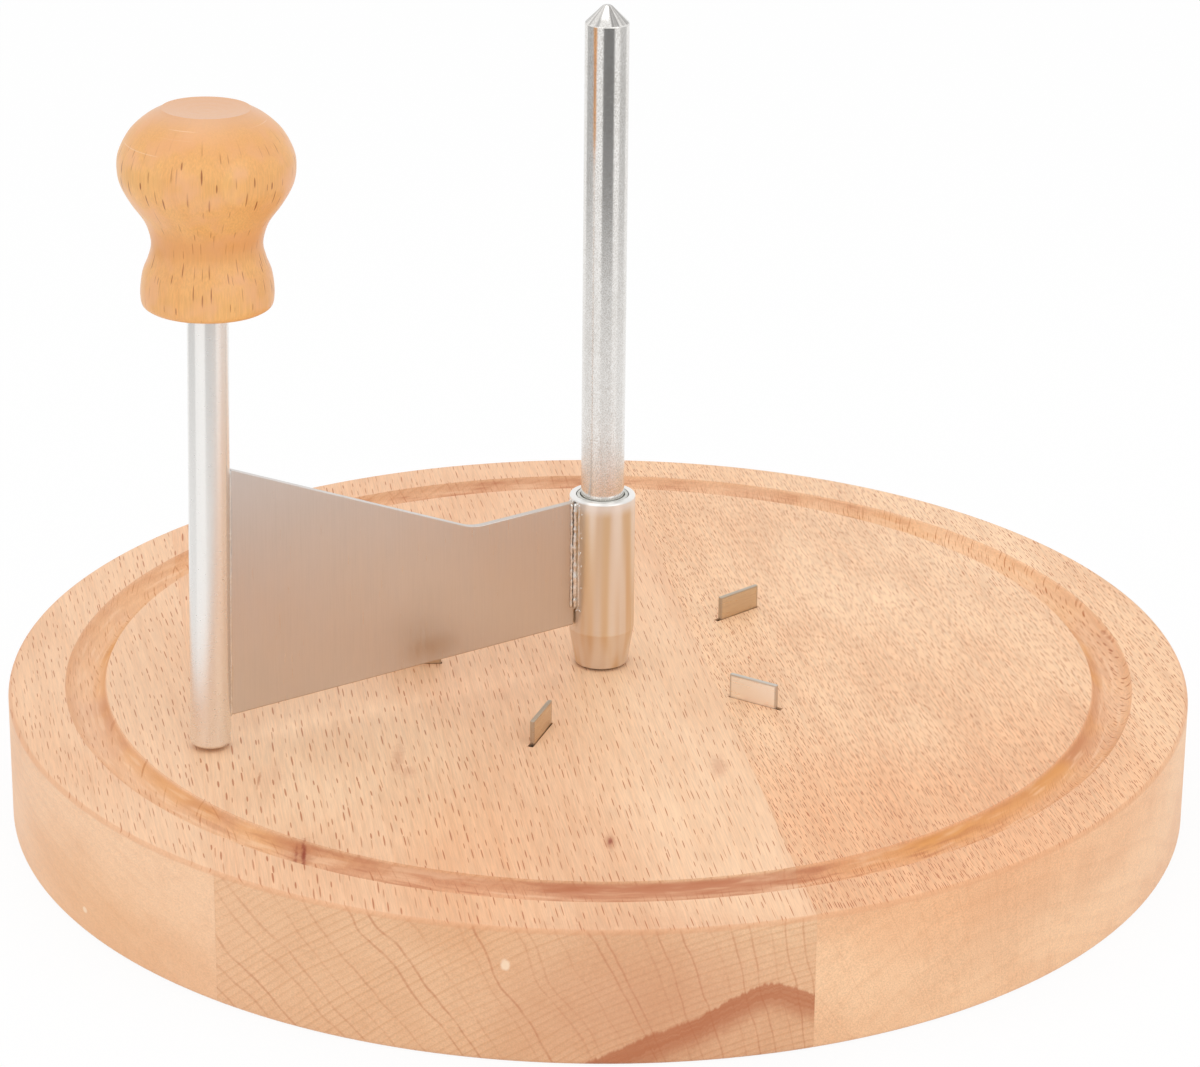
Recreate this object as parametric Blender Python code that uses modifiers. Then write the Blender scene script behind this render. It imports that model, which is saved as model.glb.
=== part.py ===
"""Cheese curler: a beech board with a steel spindle, and a crank with a scraping blade that turns on it.

Metres, +Z up. The origin is the centre of the board's underside. The crank's empty stands on the
spindle's axis with its +X along the blade, and the handle's empty stands at the foot of the post with
its +Z along the post.
"""

import math

import bmesh
import bpy
from mathutils import Vector

# Clearance where one piece seats on another
SEAT_GAP = 0.0003

# Board, glued up from three staves
BOARD_DIAMETER = 0.220
BOARD_THICKNESS = 0.0246
BOARD_TOP_ROUND = 0.0015
BOARD_BOTTOM_ROUND = 0.0011
GROOVE_INSET = 0.0141
GROOVE_NOSE_RADIUS = 0.004
GROOVE_DEPTH = 0.0026
STAVE_TURN = math.radians(8.76)
LEFT_STAVE_WIDTH = 0.0332
RIGHT_SEAM_OFFSET = 0.0195
GLUE_LINE = 0.0001

# Spindle and what holds it under the board
SPINDLE_DIAMETER = 0.008
SPINDLE_HEIGHT = 0.1266
SPINDLE_POINT_HEIGHT = 0.0032
SPINDLE_TIP_DIAMETER = 0.0018
SPINDLE_FOOT_CHAMFER = 0.0005
SPINDLE_HOLE_GAP = 0.00015
SCREW_DIAMETER = 0.005
SCREW_REACH = 0.0105
SCREW_HEAD_DIAMETER = 0.0095
SCREW_HEAD_HEIGHT = 0.00275
SCREW_SOCKET_WIDTH = 0.003
SCREW_SOCKET_DEPTH = 0.0016
SCREW_HOLE_GAP = 0.00015
TAPPED_HOLE_SPARE = 0.0015
COUNTERBORE_SIDE_GAP = 0.002
SCREW_HEAD_RECESS = 0.00095
WEB_THICKNESS = 0.0045
WEB_HOLE_GAP = 0.00025
WASHER_DIAMETER = 0.016
WASHER_THICKNESS = 0.0012

# Steel plates that hold the cheese
SPIKE_LENGTH = 0.010
SPIKE_THICKNESS = 0.0008
SPIKE_HEIGHT = 0.0046
SPIKE_ROOT_DEPTH = 0.008
SPIKE_EDGE_ROUND = 0.0002
SPIKE_CIRCLE_RADIUS = 0.035
SPIKE_AZIMUTHS = tuple(math.radians(degrees) for degrees in (252.2, 327.0, 42.6, 112.3, 182.3))
SPIKE_RADIUS_SHARES = (0.995, 0.96, 1.03, 1.0, 1.0)
SLOT_SIDE_GAP = 0.00015
SLOT_END_SPARE = 0.001
SLOT_RUNS_OUTWARD = (True, True, False, True, True)

# Crank: hub, bush, blade and the post that carries the knob
CRANK_AZIMUTH = math.radians(209.5)
HUB_WALL = 0.0012
HUB_TOP = 0.0339
HUB_BOTTOM = 0.0004
HUB_TOP_CHAMFER = 0.00035
HUB_TAPER_HEIGHT = 0.0071
HUB_FOOT_WALL = 0.0007
HUB_RUNNING_GAP = 0.0002
BUSH_WALL = 0.00055
BUSH_OUTER_GAP = 0.00015
BUSH_TOP_DROP = 0.0001
BLADE_THICKNESS = 0.0012
BLADE_HUB_EDGE_BOTTOM = 0.0090
BLADE_HUB_EDGE_DROP = 0.0005
BLADE_POST_EDGE_BOTTOM = 0.0053
BLADE_POST_EDGE_TOP = 0.0518
BLADE_NOTCH_REACH = 0.0272
BLADE_NOTCH_DROP = 0.0012
BLADE_NOTCH_ROUND = 0.010
BLADE_EDGE_GAP = 0.00025
POST_DIAMETER = 0.0072
POST_REACH = 0.0797
POST_FOOT_HEIGHT = 0.0006
POST_LEAN = math.radians(1.1)
POST_FOOT_ROUND = 0.0008
POST_END_CHAMFER = 0.0005
POST_END_LAND = 0.003
WELD_GAP = 0.0001
HUB_WELD_DIAMETER = 0.0011
HUB_WELD_RISE = 0.0035
HUB_WELD_TOP_DROP = 0.0002
POST_WELD_DIAMETER = 0.0005

# Knob, its bush and the ring that keeps it on the post
KNOB_DIAMETER = 0.0303
KNOB_HEIGHT = 0.0349
KNOB_SEAT_HEIGHT = 0.0817
KNOB_CROWN_THICKNESS = 0.0126
INSERT_WALL = 0.00135
INSERT_PRESS_GAP = 0.00015
INSERT_RUNNING_GAP = 0.0002
RING_THICKNESS = 0.001
RING_SIDE_GAP = 0.0004
RING_GROOVE_DEPTH = 0.0006
RING_GROOVE_GAP = 0.00015
RING_OPENING_SHARE = 0.35

# Radius and height of the knob's outline as shares of its diameter and its height, from the foot up
KNOB_OUTLINE_SHARES = (
    (0.345, 0.0),
    (0.371, 0.022),
    (0.377, 0.09),
    (0.363, 0.178),
    (0.332, 0.249),
    (0.314, 0.33),
    (0.348, 0.436),
    (0.432, 0.543),
    (0.487, 0.636),
    (0.500, 0.722),
    (0.484, 0.794),
    (0.428, 0.882),
    (0.343, 0.951),
    (0.170, 1.0),
)

# Sizes that follow from the ones above
GROOVE_CENTRE_RADIUS = BOARD_DIAMETER / 2 - GROOVE_INSET
COUNTERBORE_RADIUS = WASHER_DIAMETER / 2 + COUNTERBORE_SIDE_GAP
COUNTERBORE_DEPTH = SEAT_GAP + WASHER_THICKNESS + SEAT_GAP + SCREW_HEAD_HEIGHT + SCREW_HEAD_RECESS
SPINDLE_HOLE_FLOOR = COUNTERBORE_DEPTH + WEB_THICKNESS
HUB_BORE_RADIUS = SPINDLE_DIAMETER / 2 + HUB_RUNNING_GAP
BUSH_RADIUS = HUB_BORE_RADIUS + BUSH_WALL
BUSH_SEAT_RADIUS = BUSH_RADIUS + BUSH_OUTER_GAP
BUSH_SEAT_HEIGHT = HUB_BOTTOM + HUB_TAPER_HEIGHT
HUB_RADIUS = BUSH_SEAT_RADIUS + HUB_WALL
BLADE_HUB_EDGE_TOP = HUB_TOP - BLADE_HUB_EDGE_DROP
KNOB_BORE_RADIUS = POST_DIAMETER / 2 + INSERT_RUNNING_GAP + INSERT_WALL + INSERT_PRESS_GAP
KNOB_BORE_DEPTH = KNOB_HEIGHT - KNOB_CROWN_THICKNESS
POST_TOP = KNOB_SEAT_HEIGHT + KNOB_BORE_DEPTH - SEAT_GAP
RING_TOP = POST_TOP - POST_END_LAND
RING_BOTTOM = RING_TOP - RING_THICKNESS
RING_RADIUS = KNOB_BORE_RADIUS - RING_SIDE_GAP

CUT_OVERRUN = 0.002
MERGE_DISTANCE = 0.00001
SHARP_ANGLE = math.radians(32)

BOARD_STEPS = 120
ROUND_STEPS = 48
SMALL_ROUND_STEPS = 32
HEX_SIDES = 6
EDGE_STEPS = 3
GROOVE_STEPS = 8
NOTCH_STEPS = 5
OUTLINE_STEPS = 2
WELD_ROUND_STEPS = 2
BEVEL_SEGMENTS = 2

BEECH = ("beech", (0.80, 0.60, 0.42, 1.0), 0.55, 0.0)
KNOB_BEECH = ("knob_beech", (0.83, 0.55, 0.29, 1.0), 0.45, 0.0)
STEEL = ("steel", (0.62, 0.60, 0.57, 1.0), 0.28, 1.0)
WELD_STEEL = ("weld_steel", (0.50, 0.48, 0.46, 1.0), 0.45, 1.0)
BUSH_PLASTIC = ("bush_plastic", (0.85, 0.85, 0.83, 1.0), 0.4, 0.0)


def clear_scene():
    for obj in list(bpy.data.objects):
        bpy.data.objects.remove(obj, do_unlink=True)


def new_collection(name, helper=False):
    collection = bpy.data.collections.new(name)
    bpy.context.scene.collection.children.link(collection)
    collection.hide_render = helper
    return collection


def material(name, colour, roughness, metallic):
    """The named material, made once."""
    if name in bpy.data.materials:
        return bpy.data.materials[name]
    made = bpy.data.materials.new(name)
    made.use_nodes = True
    made.diffuse_color = colour
    shader = made.node_tree.nodes["Principled BSDF"]
    shader.inputs["Base Color"].default_value = colour
    shader.inputs["Roughness"].default_value = roughness
    shader.inputs["Metallic"].default_value = metallic
    return made


def add_object(name, data, look=None, parent=None):
    """Links a new object with this data; one with no look is a cutter."""
    obj = bpy.data.objects.new(name, data)
    if look:
        PARTS.objects.link(obj)
        data.materials.append(material(*look))
    else:
        CUTTERS.objects.link(obj)
        obj.hide_render = True
        obj.display_type = "WIRE"
    obj.parent = parent
    return obj


def shade_round(mesh):
    mesh.shade_smooth()
    mesh.set_sharp_from_angle(angle=SHARP_ANGLE)


def as_mesh(obj):
    """Puts the object's evaluated shape in place of its curve or modifiers, and returns the mesh object."""
    bpy.context.view_layer.update()
    graph = bpy.context.evaluated_depsgraph_get()
    mesh = bpy.data.meshes.new_from_object(obj.evaluated_get(graph))
    welded = bmesh.new()
    welded.from_mesh(mesh)
    bmesh.ops.remove_doubles(welded, verts=welded.verts, dist=MERGE_DISTANCE)
    welded.to_mesh(mesh)
    welded.free()
    shade_round(mesh)
    name = obj.name
    made = bpy.data.objects.new(name, mesh)
    for collection in obj.users_collection:
        collection.objects.link(made)
    made.hide_render = obj.hide_render
    made.display_type = obj.display_type
    made.parent = obj.parent
    made.location = obj.location
    made.rotation_euler = obj.rotation_euler
    bpy.data.objects.remove(obj, do_unlink=True)
    made.name = name
    return made


def turned(name, profile, look=None, parent=None, steps=ROUND_STEPS):
    """A solid of revolution about +Z from (radius, height) points, its outer side running downwards.

    A profile that starts off the axis is a ring, and is closed.
    """
    points = [(radius, 0.0, height) for radius, height in profile]
    edges = [(i, i + 1) for i in range(len(points) - 1)]
    if profile[0][0] > 0:
        edges.append((len(points) - 1, 0))
    mesh = bpy.data.meshes.new(name)
    mesh.from_pydata(points, edges, [])
    obj = add_object(name, mesh, look, parent)
    screw = obj.modifiers.new("Turn", "SCREW")
    screw.steps = steps
    screw.render_steps = steps
    screw.use_merge_vertices = True
    screw.merge_threshold = MERGE_DISTANCE
    return as_mesh(obj)


def ring_profile(outer, inner, bottom, top):
    return [(outer, top), (outer, bottom), (inner, bottom), (inner, top)]


def block(name, low, high, look=None, parent=None):
    """A box between two corners."""
    low, high = Vector(low), Vector(high)
    mesh = bpy.data.meshes.new(name)
    shape = bmesh.new()
    bmesh.ops.create_cube(shape, size=1.0)
    bmesh.ops.scale(shape, verts=shape.verts, vec=high - low)
    bmesh.ops.translate(shape, verts=shape.verts, vec=(low + high) / 2)
    shape.to_mesh(mesh)
    shape.free()
    return add_object(name, mesh, look, parent)


def bar(name, start, end, diameter, look, parent):
    """A round bar with flat ends between two points, as a weld bead."""
    curve = bpy.data.curves.new(name, "CURVE")
    curve.dimensions = "3D"
    curve.bevel_depth = diameter / 2
    curve.bevel_resolution = WELD_ROUND_STEPS
    curve.use_fill_caps = True
    spline = curve.splines.new("POLY")
    spline.points.add(1)
    for point, place in zip(spline.points, (start, end)):
        point.co = (*place, 1.0)
    return as_mesh(add_object(name, curve, look, parent))


def cut(obj, cutter, operation="DIFFERENCE"):
    modifier = obj.modifiers.new(cutter.name, "BOOLEAN")
    modifier.operation = operation
    modifier.object = cutter


def arc(centre, radius, start, end, steps):
    """Points round a centre from one angle to another, both ends included."""
    points = []
    for i in range(steps + 1):
        angle = start + (end - start) * i / steps
        points.append((centre[0] + radius * math.cos(angle), centre[1] + radius * math.sin(angle)))
    return points


def smooth_line(points, steps):
    """A Catmull-Rom line through the points, with this many steps between each pair."""
    ends = [points[0]] + list(points) + [points[-1]]
    line = []
    for before, start, end, after in zip(ends, ends[1:], ends[2:], ends[3:]):
        for i in range(steps):
            t = i / steps
            place = []
            for a, b, c, d in zip(before, start, end, after):
                bend = (2 * a - 5 * b + 4 * c - d) * t**2 + (3 * b - a - 3 * c + d) * t**3
                place.append((2 * b + (c - a) * t + bend) / 2)
            line.append(tuple(place))
    line.append(points[-1])
    return line


def board_profile():
    radius = BOARD_DIAMETER / 2
    groove_centre_height = BOARD_THICKNESS - GROOVE_DEPTH + GROOVE_NOSE_RADIUS
    groove_lip = math.asin((GROOVE_NOSE_RADIUS - GROOVE_DEPTH) / GROOVE_NOSE_RADIUS)
    groove = arc(
        (GROOVE_CENTRE_RADIUS, groove_centre_height),
        GROOVE_NOSE_RADIUS,
        math.pi + groove_lip,
        2 * math.pi - groove_lip,
        GROOVE_STEPS,
    )
    top_round = (radius - BOARD_TOP_ROUND, BOARD_THICKNESS - BOARD_TOP_ROUND)
    bottom_round = (radius - BOARD_BOTTOM_ROUND, BOARD_BOTTOM_ROUND)
    return [
        (0.0, BOARD_THICKNESS),
        *groove,
        *arc(top_round, BOARD_TOP_ROUND, math.pi / 2, 0.0, EDGE_STEPS),
        *arc(bottom_round, BOARD_BOTTOM_ROUND, 0.0, -math.pi / 2, EDGE_STEPS),
        (0.0, 0.0),
    ]


def spindle_cutters():
    """The spindle's blind hole, the screw's hole through the web under it, and the counterbore."""
    hole = SPINDLE_DIAMETER / 2 + SPINDLE_HOLE_GAP
    web_hole = SCREW_DIAMETER / 2 + WEB_HOLE_GAP
    above = BOARD_THICKNESS + CUT_OVERRUN
    profile = [
        (0.0, above),
        (hole, above),
        (hole, SPINDLE_HOLE_FLOOR),
        (web_hole, SPINDLE_HOLE_FLOOR),
        (web_hole, COUNTERBORE_DEPTH),
        (COUNTERBORE_RADIUS, COUNTERBORE_DEPTH),
        (COUNTERBORE_RADIUS, -CUT_OVERRUN),
        (0.0, -CUT_OVERRUN),
    ]
    return turned("spindle_hole_cutter", profile)


def spike_place(index):
    """Where a spike stands on the board, and the angle it is turned to."""
    radius = SPIKE_CIRCLE_RADIUS * SPIKE_RADIUS_SHARES[index]
    azimuth = SPIKE_AZIMUTHS[index]
    return (radius * math.cos(azimuth), radius * math.sin(azimuth), BOARD_THICKNESS), azimuth


def slot_cutter(index):
    """A spike's slot: a little wider all round, and longer at one end."""
    half_width = SPIKE_THICKNESS / 2 + SLOT_SIDE_GAP
    inward = SPIKE_LENGTH / 2 + SLOT_END_SPARE
    outward = SPIKE_LENGTH / 2 + SLOT_SIDE_GAP
    if SLOT_RUNS_OUTWARD[index]:
        inward, outward = outward, inward
    slot = block(
        f"slot_cutter_{index + 1}",
        (-inward, -half_width, -SPIKE_ROOT_DEPTH - SEAT_GAP),
        (outward, half_width, CUT_OVERRUN),
    )
    slot.location, slot.rotation_euler.z = spike_place(index)
    return slot


def make_board():
    """Three staves cut from one turned blank along their glue lines."""
    reach = BOARD_DIAMETER / 2 + CUT_OVERRUN
    left_seam = LEFT_STAVE_WIDTH - BOARD_DIAMETER / 2
    half_line = GLUE_LINE / 2
    stave_sides = {
        "board_stave_left": (-reach, left_seam - half_line),
        "board_stave_centre": (left_seam + half_line, RIGHT_SEAM_OFFSET - half_line),
        "board_stave_right": (RIGHT_SEAM_OFFSET + half_line, reach),
    }
    cutters = [spindle_cutters()] + [slot_cutter(index) for index in range(len(SPIKE_AZIMUTHS))]
    for name, (left, right) in stave_sides.items():
        stave = turned(name, board_profile(), BEECH, steps=BOARD_STEPS)
        low = (left, -reach, -CUT_OVERRUN)
        high = (right, reach, BOARD_THICKNESS + CUT_OVERRUN)
        sides = block(f"{name}_sides", low, high)
        sides.rotation_euler.z = STAVE_TURN
        cut(stave, sides, "INTERSECT")
        for cutter in cutters:
            cut(stave, cutter)


def make_spindle():
    """The rod, with its cone point and the tapped hole in its foot."""
    radius = SPINDLE_DIAMETER / 2
    tip = SPINDLE_TIP_DIAMETER / 2
    bottom = SPINDLE_HOLE_FLOOR + SEAT_GAP
    top = BOARD_THICKNESS + SPINDLE_HEIGHT
    bore = SCREW_DIAMETER / 2 + SCREW_HOLE_GAP
    bore_end = bottom + SCREW_REACH + TAPPED_HOLE_SPARE
    profile = [
        (0.0, top),
        (tip, top),
        (radius, top - SPINDLE_POINT_HEIGHT),
        (radius, bottom + SPINDLE_FOOT_CHAMFER),
        (radius - SPINDLE_FOOT_CHAMFER, bottom),
        (bore, bottom),
        (bore, bore_end),
        (0.0, bore_end + bore / 2),
    ]
    turned("spindle", profile, STEEL)


def make_spindle_fixing():
    """The washer and the button-head screw in the board's counterbore."""
    washer_top = COUNTERBORE_DEPTH - SEAT_GAP
    washer_bottom = washer_top - WASHER_THICKNESS
    washer_hole = SCREW_DIAMETER / 2 + WEB_HOLE_GAP
    washer = ring_profile(WASHER_DIAMETER / 2, washer_hole, washer_bottom, washer_top)
    turned("spindle_washer", washer, STEEL, steps=SMALL_ROUND_STEPS)

    head_top = washer_bottom - SEAT_GAP
    shank = SCREW_DIAMETER / 2
    head = SCREW_HEAD_DIAMETER / 2
    shank_top = SPINDLE_HOLE_FLOOR + SCREW_REACH
    profile = [
        (0.0, shank_top),
        (shank, shank_top),
        (shank, head_top),
        (head, head_top),
        (head, head_top - SCREW_HEAD_HEIGHT / 3),
        (head * 2 / 3, head_top - SCREW_HEAD_HEIGHT),
        (0.0, head_top - SCREW_HEAD_HEIGHT),
    ]
    screw = turned("spindle_screw", profile, STEEL, steps=SMALL_ROUND_STEPS)
    mesh = bpy.data.meshes.new("screw_socket_cutter")
    shape = bmesh.new()
    bmesh.ops.create_cone(
        shape,
        cap_ends=True,
        segments=HEX_SIDES,
        radius1=SCREW_SOCKET_WIDTH / math.sqrt(3),
        radius2=SCREW_SOCKET_WIDTH / math.sqrt(3),
        depth=2 * SCREW_SOCKET_DEPTH,
    )
    shape.to_mesh(mesh)
    shape.free()
    socket = add_object("screw_socket_cutter", mesh)
    socket.location.z = head_top - SCREW_HEAD_HEIGHT
    cut(screw, socket)


def make_spikes():
    for index in range(len(SPIKE_AZIMUTHS)):
        spike = block(
            f"cheese_spike_{index + 1}",
            (-SPIKE_LENGTH / 2, -SPIKE_THICKNESS / 2, -SPIKE_ROOT_DEPTH),
            (SPIKE_LENGTH / 2, SPIKE_THICKNESS / 2, SPIKE_HEIGHT),
            STEEL,
        )
        spike.location, spike.rotation_euler.z = spike_place(index)
        rounding = spike.modifiers.new("Eased edges", "BEVEL")
        rounding.width = SPIKE_EDGE_ROUND
        rounding.segments = BEVEL_SEGMENTS


def make_hub(crank):
    """The sleeve, bored out from the top for its bush and narrowed towards the board."""
    sleeve = [
        (HUB_RADIUS - HUB_TOP_CHAMFER, HUB_TOP),
        (HUB_RADIUS, HUB_TOP - HUB_TOP_CHAMFER),
        (HUB_RADIUS, HUB_BOTTOM + HUB_TAPER_HEIGHT),
        (HUB_BORE_RADIUS + HUB_FOOT_WALL, HUB_BOTTOM),
        (HUB_BORE_RADIUS, HUB_BOTTOM),
        (HUB_BORE_RADIUS, BUSH_SEAT_HEIGHT),
        (BUSH_SEAT_RADIUS, BUSH_SEAT_HEIGHT),
        (BUSH_SEAT_RADIUS, HUB_TOP),
    ]
    turned("hub_sleeve", sleeve, STEEL, crank)
    bush = ring_profile(BUSH_RADIUS, HUB_BORE_RADIUS, BUSH_SEAT_HEIGHT + SEAT_GAP, HUB_TOP - BUSH_TOP_DROP)
    turned("hub_bush", bush, BUSH_PLASTIC, crank)


def post_edge(height):
    """How far the blade's outer edge stands from the spindle's axis at a height above the board."""
    axis = POST_REACH - (height - POST_FOOT_HEIGHT) * math.tan(POST_LEAN)
    return axis - (POST_DIAMETER / 2 + BLADE_EDGE_GAP) / math.cos(POST_LEAN)


def notch_arc(before, notch, after):
    """The round that joins the two straight runs of the blade's upper edge."""
    notch = Vector(notch)
    to_before = (Vector(before) - notch).normalized()
    to_after = (Vector(after) - notch).normalized()
    half_angle = to_before.angle(to_after) / 2
    centre = notch + (to_before + to_after).normalized() * BLADE_NOTCH_ROUND / math.sin(half_angle)
    run = BLADE_NOTCH_ROUND / math.tan(half_angle)
    start = notch + to_before * run - centre
    end = notch + to_after * run - centre
    return arc(centre, BLADE_NOTCH_ROUND, math.atan2(*start.yx), math.atan2(*end.yx), NOTCH_STEPS)


def make_blade(crank):
    hub_edge = HUB_RADIUS + BLADE_EDGE_GAP
    notch = (BLADE_NOTCH_REACH, BLADE_HUB_EDGE_TOP - BLADE_NOTCH_DROP)
    outline = [
        (hub_edge, BLADE_HUB_EDGE_BOTTOM),
        (post_edge(BLADE_POST_EDGE_BOTTOM), BLADE_POST_EDGE_BOTTOM),
        (post_edge(BLADE_POST_EDGE_TOP), BLADE_POST_EDGE_TOP),
    ]
    hub_corner = (hub_edge, BLADE_HUB_EDGE_TOP)
    outline += notch_arc(outline[-1], notch, hub_corner)
    outline.append(hub_corner)
    curve = bpy.data.curves.new("scraper_blade", "CURVE")
    curve.dimensions = "2D"
    curve.fill_mode = "BOTH"
    curve.extrude = BLADE_THICKNESS / 2
    spline = curve.splines.new("POLY")
    spline.points.add(len(outline) - 1)
    for point, (reach, height) in zip(spline.points, outline):
        point.co = (reach, height, 0.0, 1.0)
    spline.use_cyclic_u = True
    blade = add_object("scraper_blade", curve, STEEL, crank)
    blade.rotation_euler.x = math.pi / 2
    as_mesh(blade)


def weld_pair(name, radius, diameter, direction, low, high, parent):
    """A bead in the corner on each side of the blade, along a round piece of this radius."""
    bead = diameter / 2
    off_blade = BLADE_THICKNESS / 2 + WELD_GAP + bead
    off_axis = radius + WELD_GAP + bead
    reach = direction * math.sqrt(off_axis**2 - off_blade**2)
    for side, side_name in ((1, "front"), (-1, "back")):
        start = (reach, side * off_blade, low)
        end = (reach, side * off_blade, high)
        bar(f"{name}_{side_name}", start, end, diameter, WELD_STEEL, parent)


def make_welds(crank, handle):
    low = BLADE_HUB_EDGE_BOTTOM + HUB_WELD_RISE
    high = BLADE_HUB_EDGE_TOP - HUB_WELD_TOP_DROP
    weld_pair("hub_weld", HUB_RADIUS, HUB_WELD_DIAMETER, 1, low, high, crank)
    low = BLADE_POST_EDGE_BOTTOM - POST_FOOT_HEIGHT
    high = BLADE_POST_EDGE_TOP - POST_FOOT_HEIGHT
    weld_pair("post_weld", POST_DIAMETER / 2, POST_WELD_DIAMETER, -1, low, high, handle)


def make_post(handle):
    """The rod that carries the knob, with a groove for the snap ring."""
    radius = POST_DIAMETER / 2
    groove_radius = radius - RING_GROOVE_DEPTH
    foot_centre = (radius - POST_FOOT_ROUND, POST_FOOT_ROUND)
    profile = [
        (0.0, POST_TOP),
        (radius - POST_END_CHAMFER, POST_TOP),
        (radius, POST_TOP - POST_END_CHAMFER),
        (radius, RING_TOP + RING_GROOVE_GAP),
        (groove_radius, RING_TOP + RING_GROOVE_GAP),
        (groove_radius, RING_BOTTOM - RING_GROOVE_GAP),
        (radius, RING_BOTTOM - RING_GROOVE_GAP),
        *arc(foot_centre, POST_FOOT_ROUND, 0.0, -math.pi / 2, EDGE_STEPS),
        (0.0, 0.0),
    ]
    turned("handle_post", profile, STEEL, handle)


def make_ring(handle):
    """The snap ring in the post's groove, open on one side."""
    inner = POST_DIAMETER / 2 - RING_GROOVE_DEPTH + RING_GROOVE_GAP
    profile = ring_profile(RING_RADIUS, inner, RING_BOTTOM, RING_TOP)
    ring = turned("knob_ring", profile, STEEL, handle, SMALL_ROUND_STEPS)
    half_opening = RING_RADIUS * RING_OPENING_SHARE
    opening = block(
        "ring_opening_cutter",
        (0.0, -half_opening, RING_BOTTOM - CUT_OVERRUN),
        (RING_RADIUS + CUT_OVERRUN, half_opening, RING_TOP + CUT_OVERRUN),
        parent=handle,
    )
    cut(ring, opening)


def make_knob(handle):
    """The turned knob, blind-bored from below, and the bush in its bore."""
    outline = []
    for radius_share, height_share in reversed(KNOB_OUTLINE_SHARES):
        outline.append((KNOB_DIAMETER * radius_share, KNOB_HEIGHT * height_share))
    profile = [
        (0.0, KNOB_HEIGHT),
        *smooth_line(outline, OUTLINE_STEPS),
        (KNOB_BORE_RADIUS, 0.0),
        (KNOB_BORE_RADIUS, KNOB_BORE_DEPTH),
        (0.0, KNOB_BORE_DEPTH),
    ]
    knob = turned("handle_knob", profile, KNOB_BEECH, handle)
    knob.location.z = KNOB_SEAT_HEIGHT

    outer = KNOB_BORE_RADIUS - INSERT_PRESS_GAP
    inner = POST_DIAMETER / 2 + INSERT_RUNNING_GAP
    insert = ring_profile(outer, inner, KNOB_SEAT_HEIGHT + SEAT_GAP, RING_BOTTOM - SEAT_GAP)
    turned("knob_insert", insert, BUSH_PLASTIC, handle)


def make_empties():
    """The crank's empty on the spindle's axis, and the handle's at the foot of the post."""
    crank = bpy.data.objects.new("crank_axis", None)
    PARTS.objects.link(crank)
    crank.location.z = BOARD_THICKNESS
    crank.rotation_euler.z = CRANK_AZIMUTH
    handle = bpy.data.objects.new("handle_axis", None)
    PARTS.objects.link(handle)
    handle.parent = crank
    handle.location = (POST_REACH, 0.0, POST_FOOT_HEIGHT)
    handle.rotation_euler.y = -POST_LEAN
    return crank, handle


def main():
    crank, handle = make_empties()
    make_board()
    make_spindle()
    make_spindle_fixing()
    make_spikes()
    make_hub(crank)
    make_blade(crank)
    make_post(handle)
    make_welds(crank, handle)
    make_ring(handle)
    make_knob(handle)


clear_scene()
PARTS = new_collection("cheese_curler")
CUTTERS = new_collection("cutters", helper=True)
main()
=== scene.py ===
"""The visible surfaces of a cheese curler: beech board, steel spindle, and a crank with its blade and knob.

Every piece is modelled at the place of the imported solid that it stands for, in metres, +Z up.
"""

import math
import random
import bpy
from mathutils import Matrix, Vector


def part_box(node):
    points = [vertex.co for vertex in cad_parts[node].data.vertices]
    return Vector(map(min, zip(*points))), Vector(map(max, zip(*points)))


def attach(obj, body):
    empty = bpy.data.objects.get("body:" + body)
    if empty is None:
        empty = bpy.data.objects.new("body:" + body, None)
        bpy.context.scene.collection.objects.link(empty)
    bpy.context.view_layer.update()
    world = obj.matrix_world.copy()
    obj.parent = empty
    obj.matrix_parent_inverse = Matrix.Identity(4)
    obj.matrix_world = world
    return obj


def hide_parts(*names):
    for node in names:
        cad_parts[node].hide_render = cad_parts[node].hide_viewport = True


bl_info = {
    "name": "Cheese curler",
    "version": (1, 0, 0),
    "blender": (4, 5, 0),
    "location": "3D View > Sidebar > Cheese curler",
    "description": "Builds the visible pieces of a cheese curler round its packed frame",
    "category": "Object",
}

import bpy
from bpy.props import FloatProperty, FloatVectorProperty, PointerProperty
from mathutils import Euler, Matrix, Vector

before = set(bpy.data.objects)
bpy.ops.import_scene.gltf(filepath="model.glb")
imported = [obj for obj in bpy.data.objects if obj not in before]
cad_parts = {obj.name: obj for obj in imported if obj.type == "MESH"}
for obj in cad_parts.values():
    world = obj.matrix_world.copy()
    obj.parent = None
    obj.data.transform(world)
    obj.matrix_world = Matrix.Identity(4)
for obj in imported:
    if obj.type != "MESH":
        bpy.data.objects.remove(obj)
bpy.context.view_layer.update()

BOARD_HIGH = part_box("board_stave_centre")[1]
SPINDLE_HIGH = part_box("spindle")[1]

MILLIMETRES = 1000.0
MERGE_DISTANCE = 0.000001
START_SIZE = 0.0001
SHARP_ANGLE = math.radians(28)
CUT_OVERRUN = 0.002
SEAT_GAP = 0.0003
SLIDE_GAP = 0.00015
SCREW_GAP = 0.00025
FINE_EDGE = 0.00012
ROD_END = 0.0005

RIM_STEPS = 256
ROD_STEPS = 96
SMALL_STEPS = 64
GROOVE_STEPS = 20
NOTCH_STEPS = 14
EDGE_STEPS = 6


def length(name, default, description):
    return FloatProperty(
        name=name, default=default, description=description, precision=5, unit="LENGTH", subtype="DISTANCE"
    )


def turn(name, degrees, description):
    return FloatProperty(
        name=name, default=math.radians(degrees), description=description, unit="ROTATION", subtype="ANGLE"
    )


def power(name, default, description):
    return FloatProperty(name=name, default=default, description=description, unit="POWER")


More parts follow.
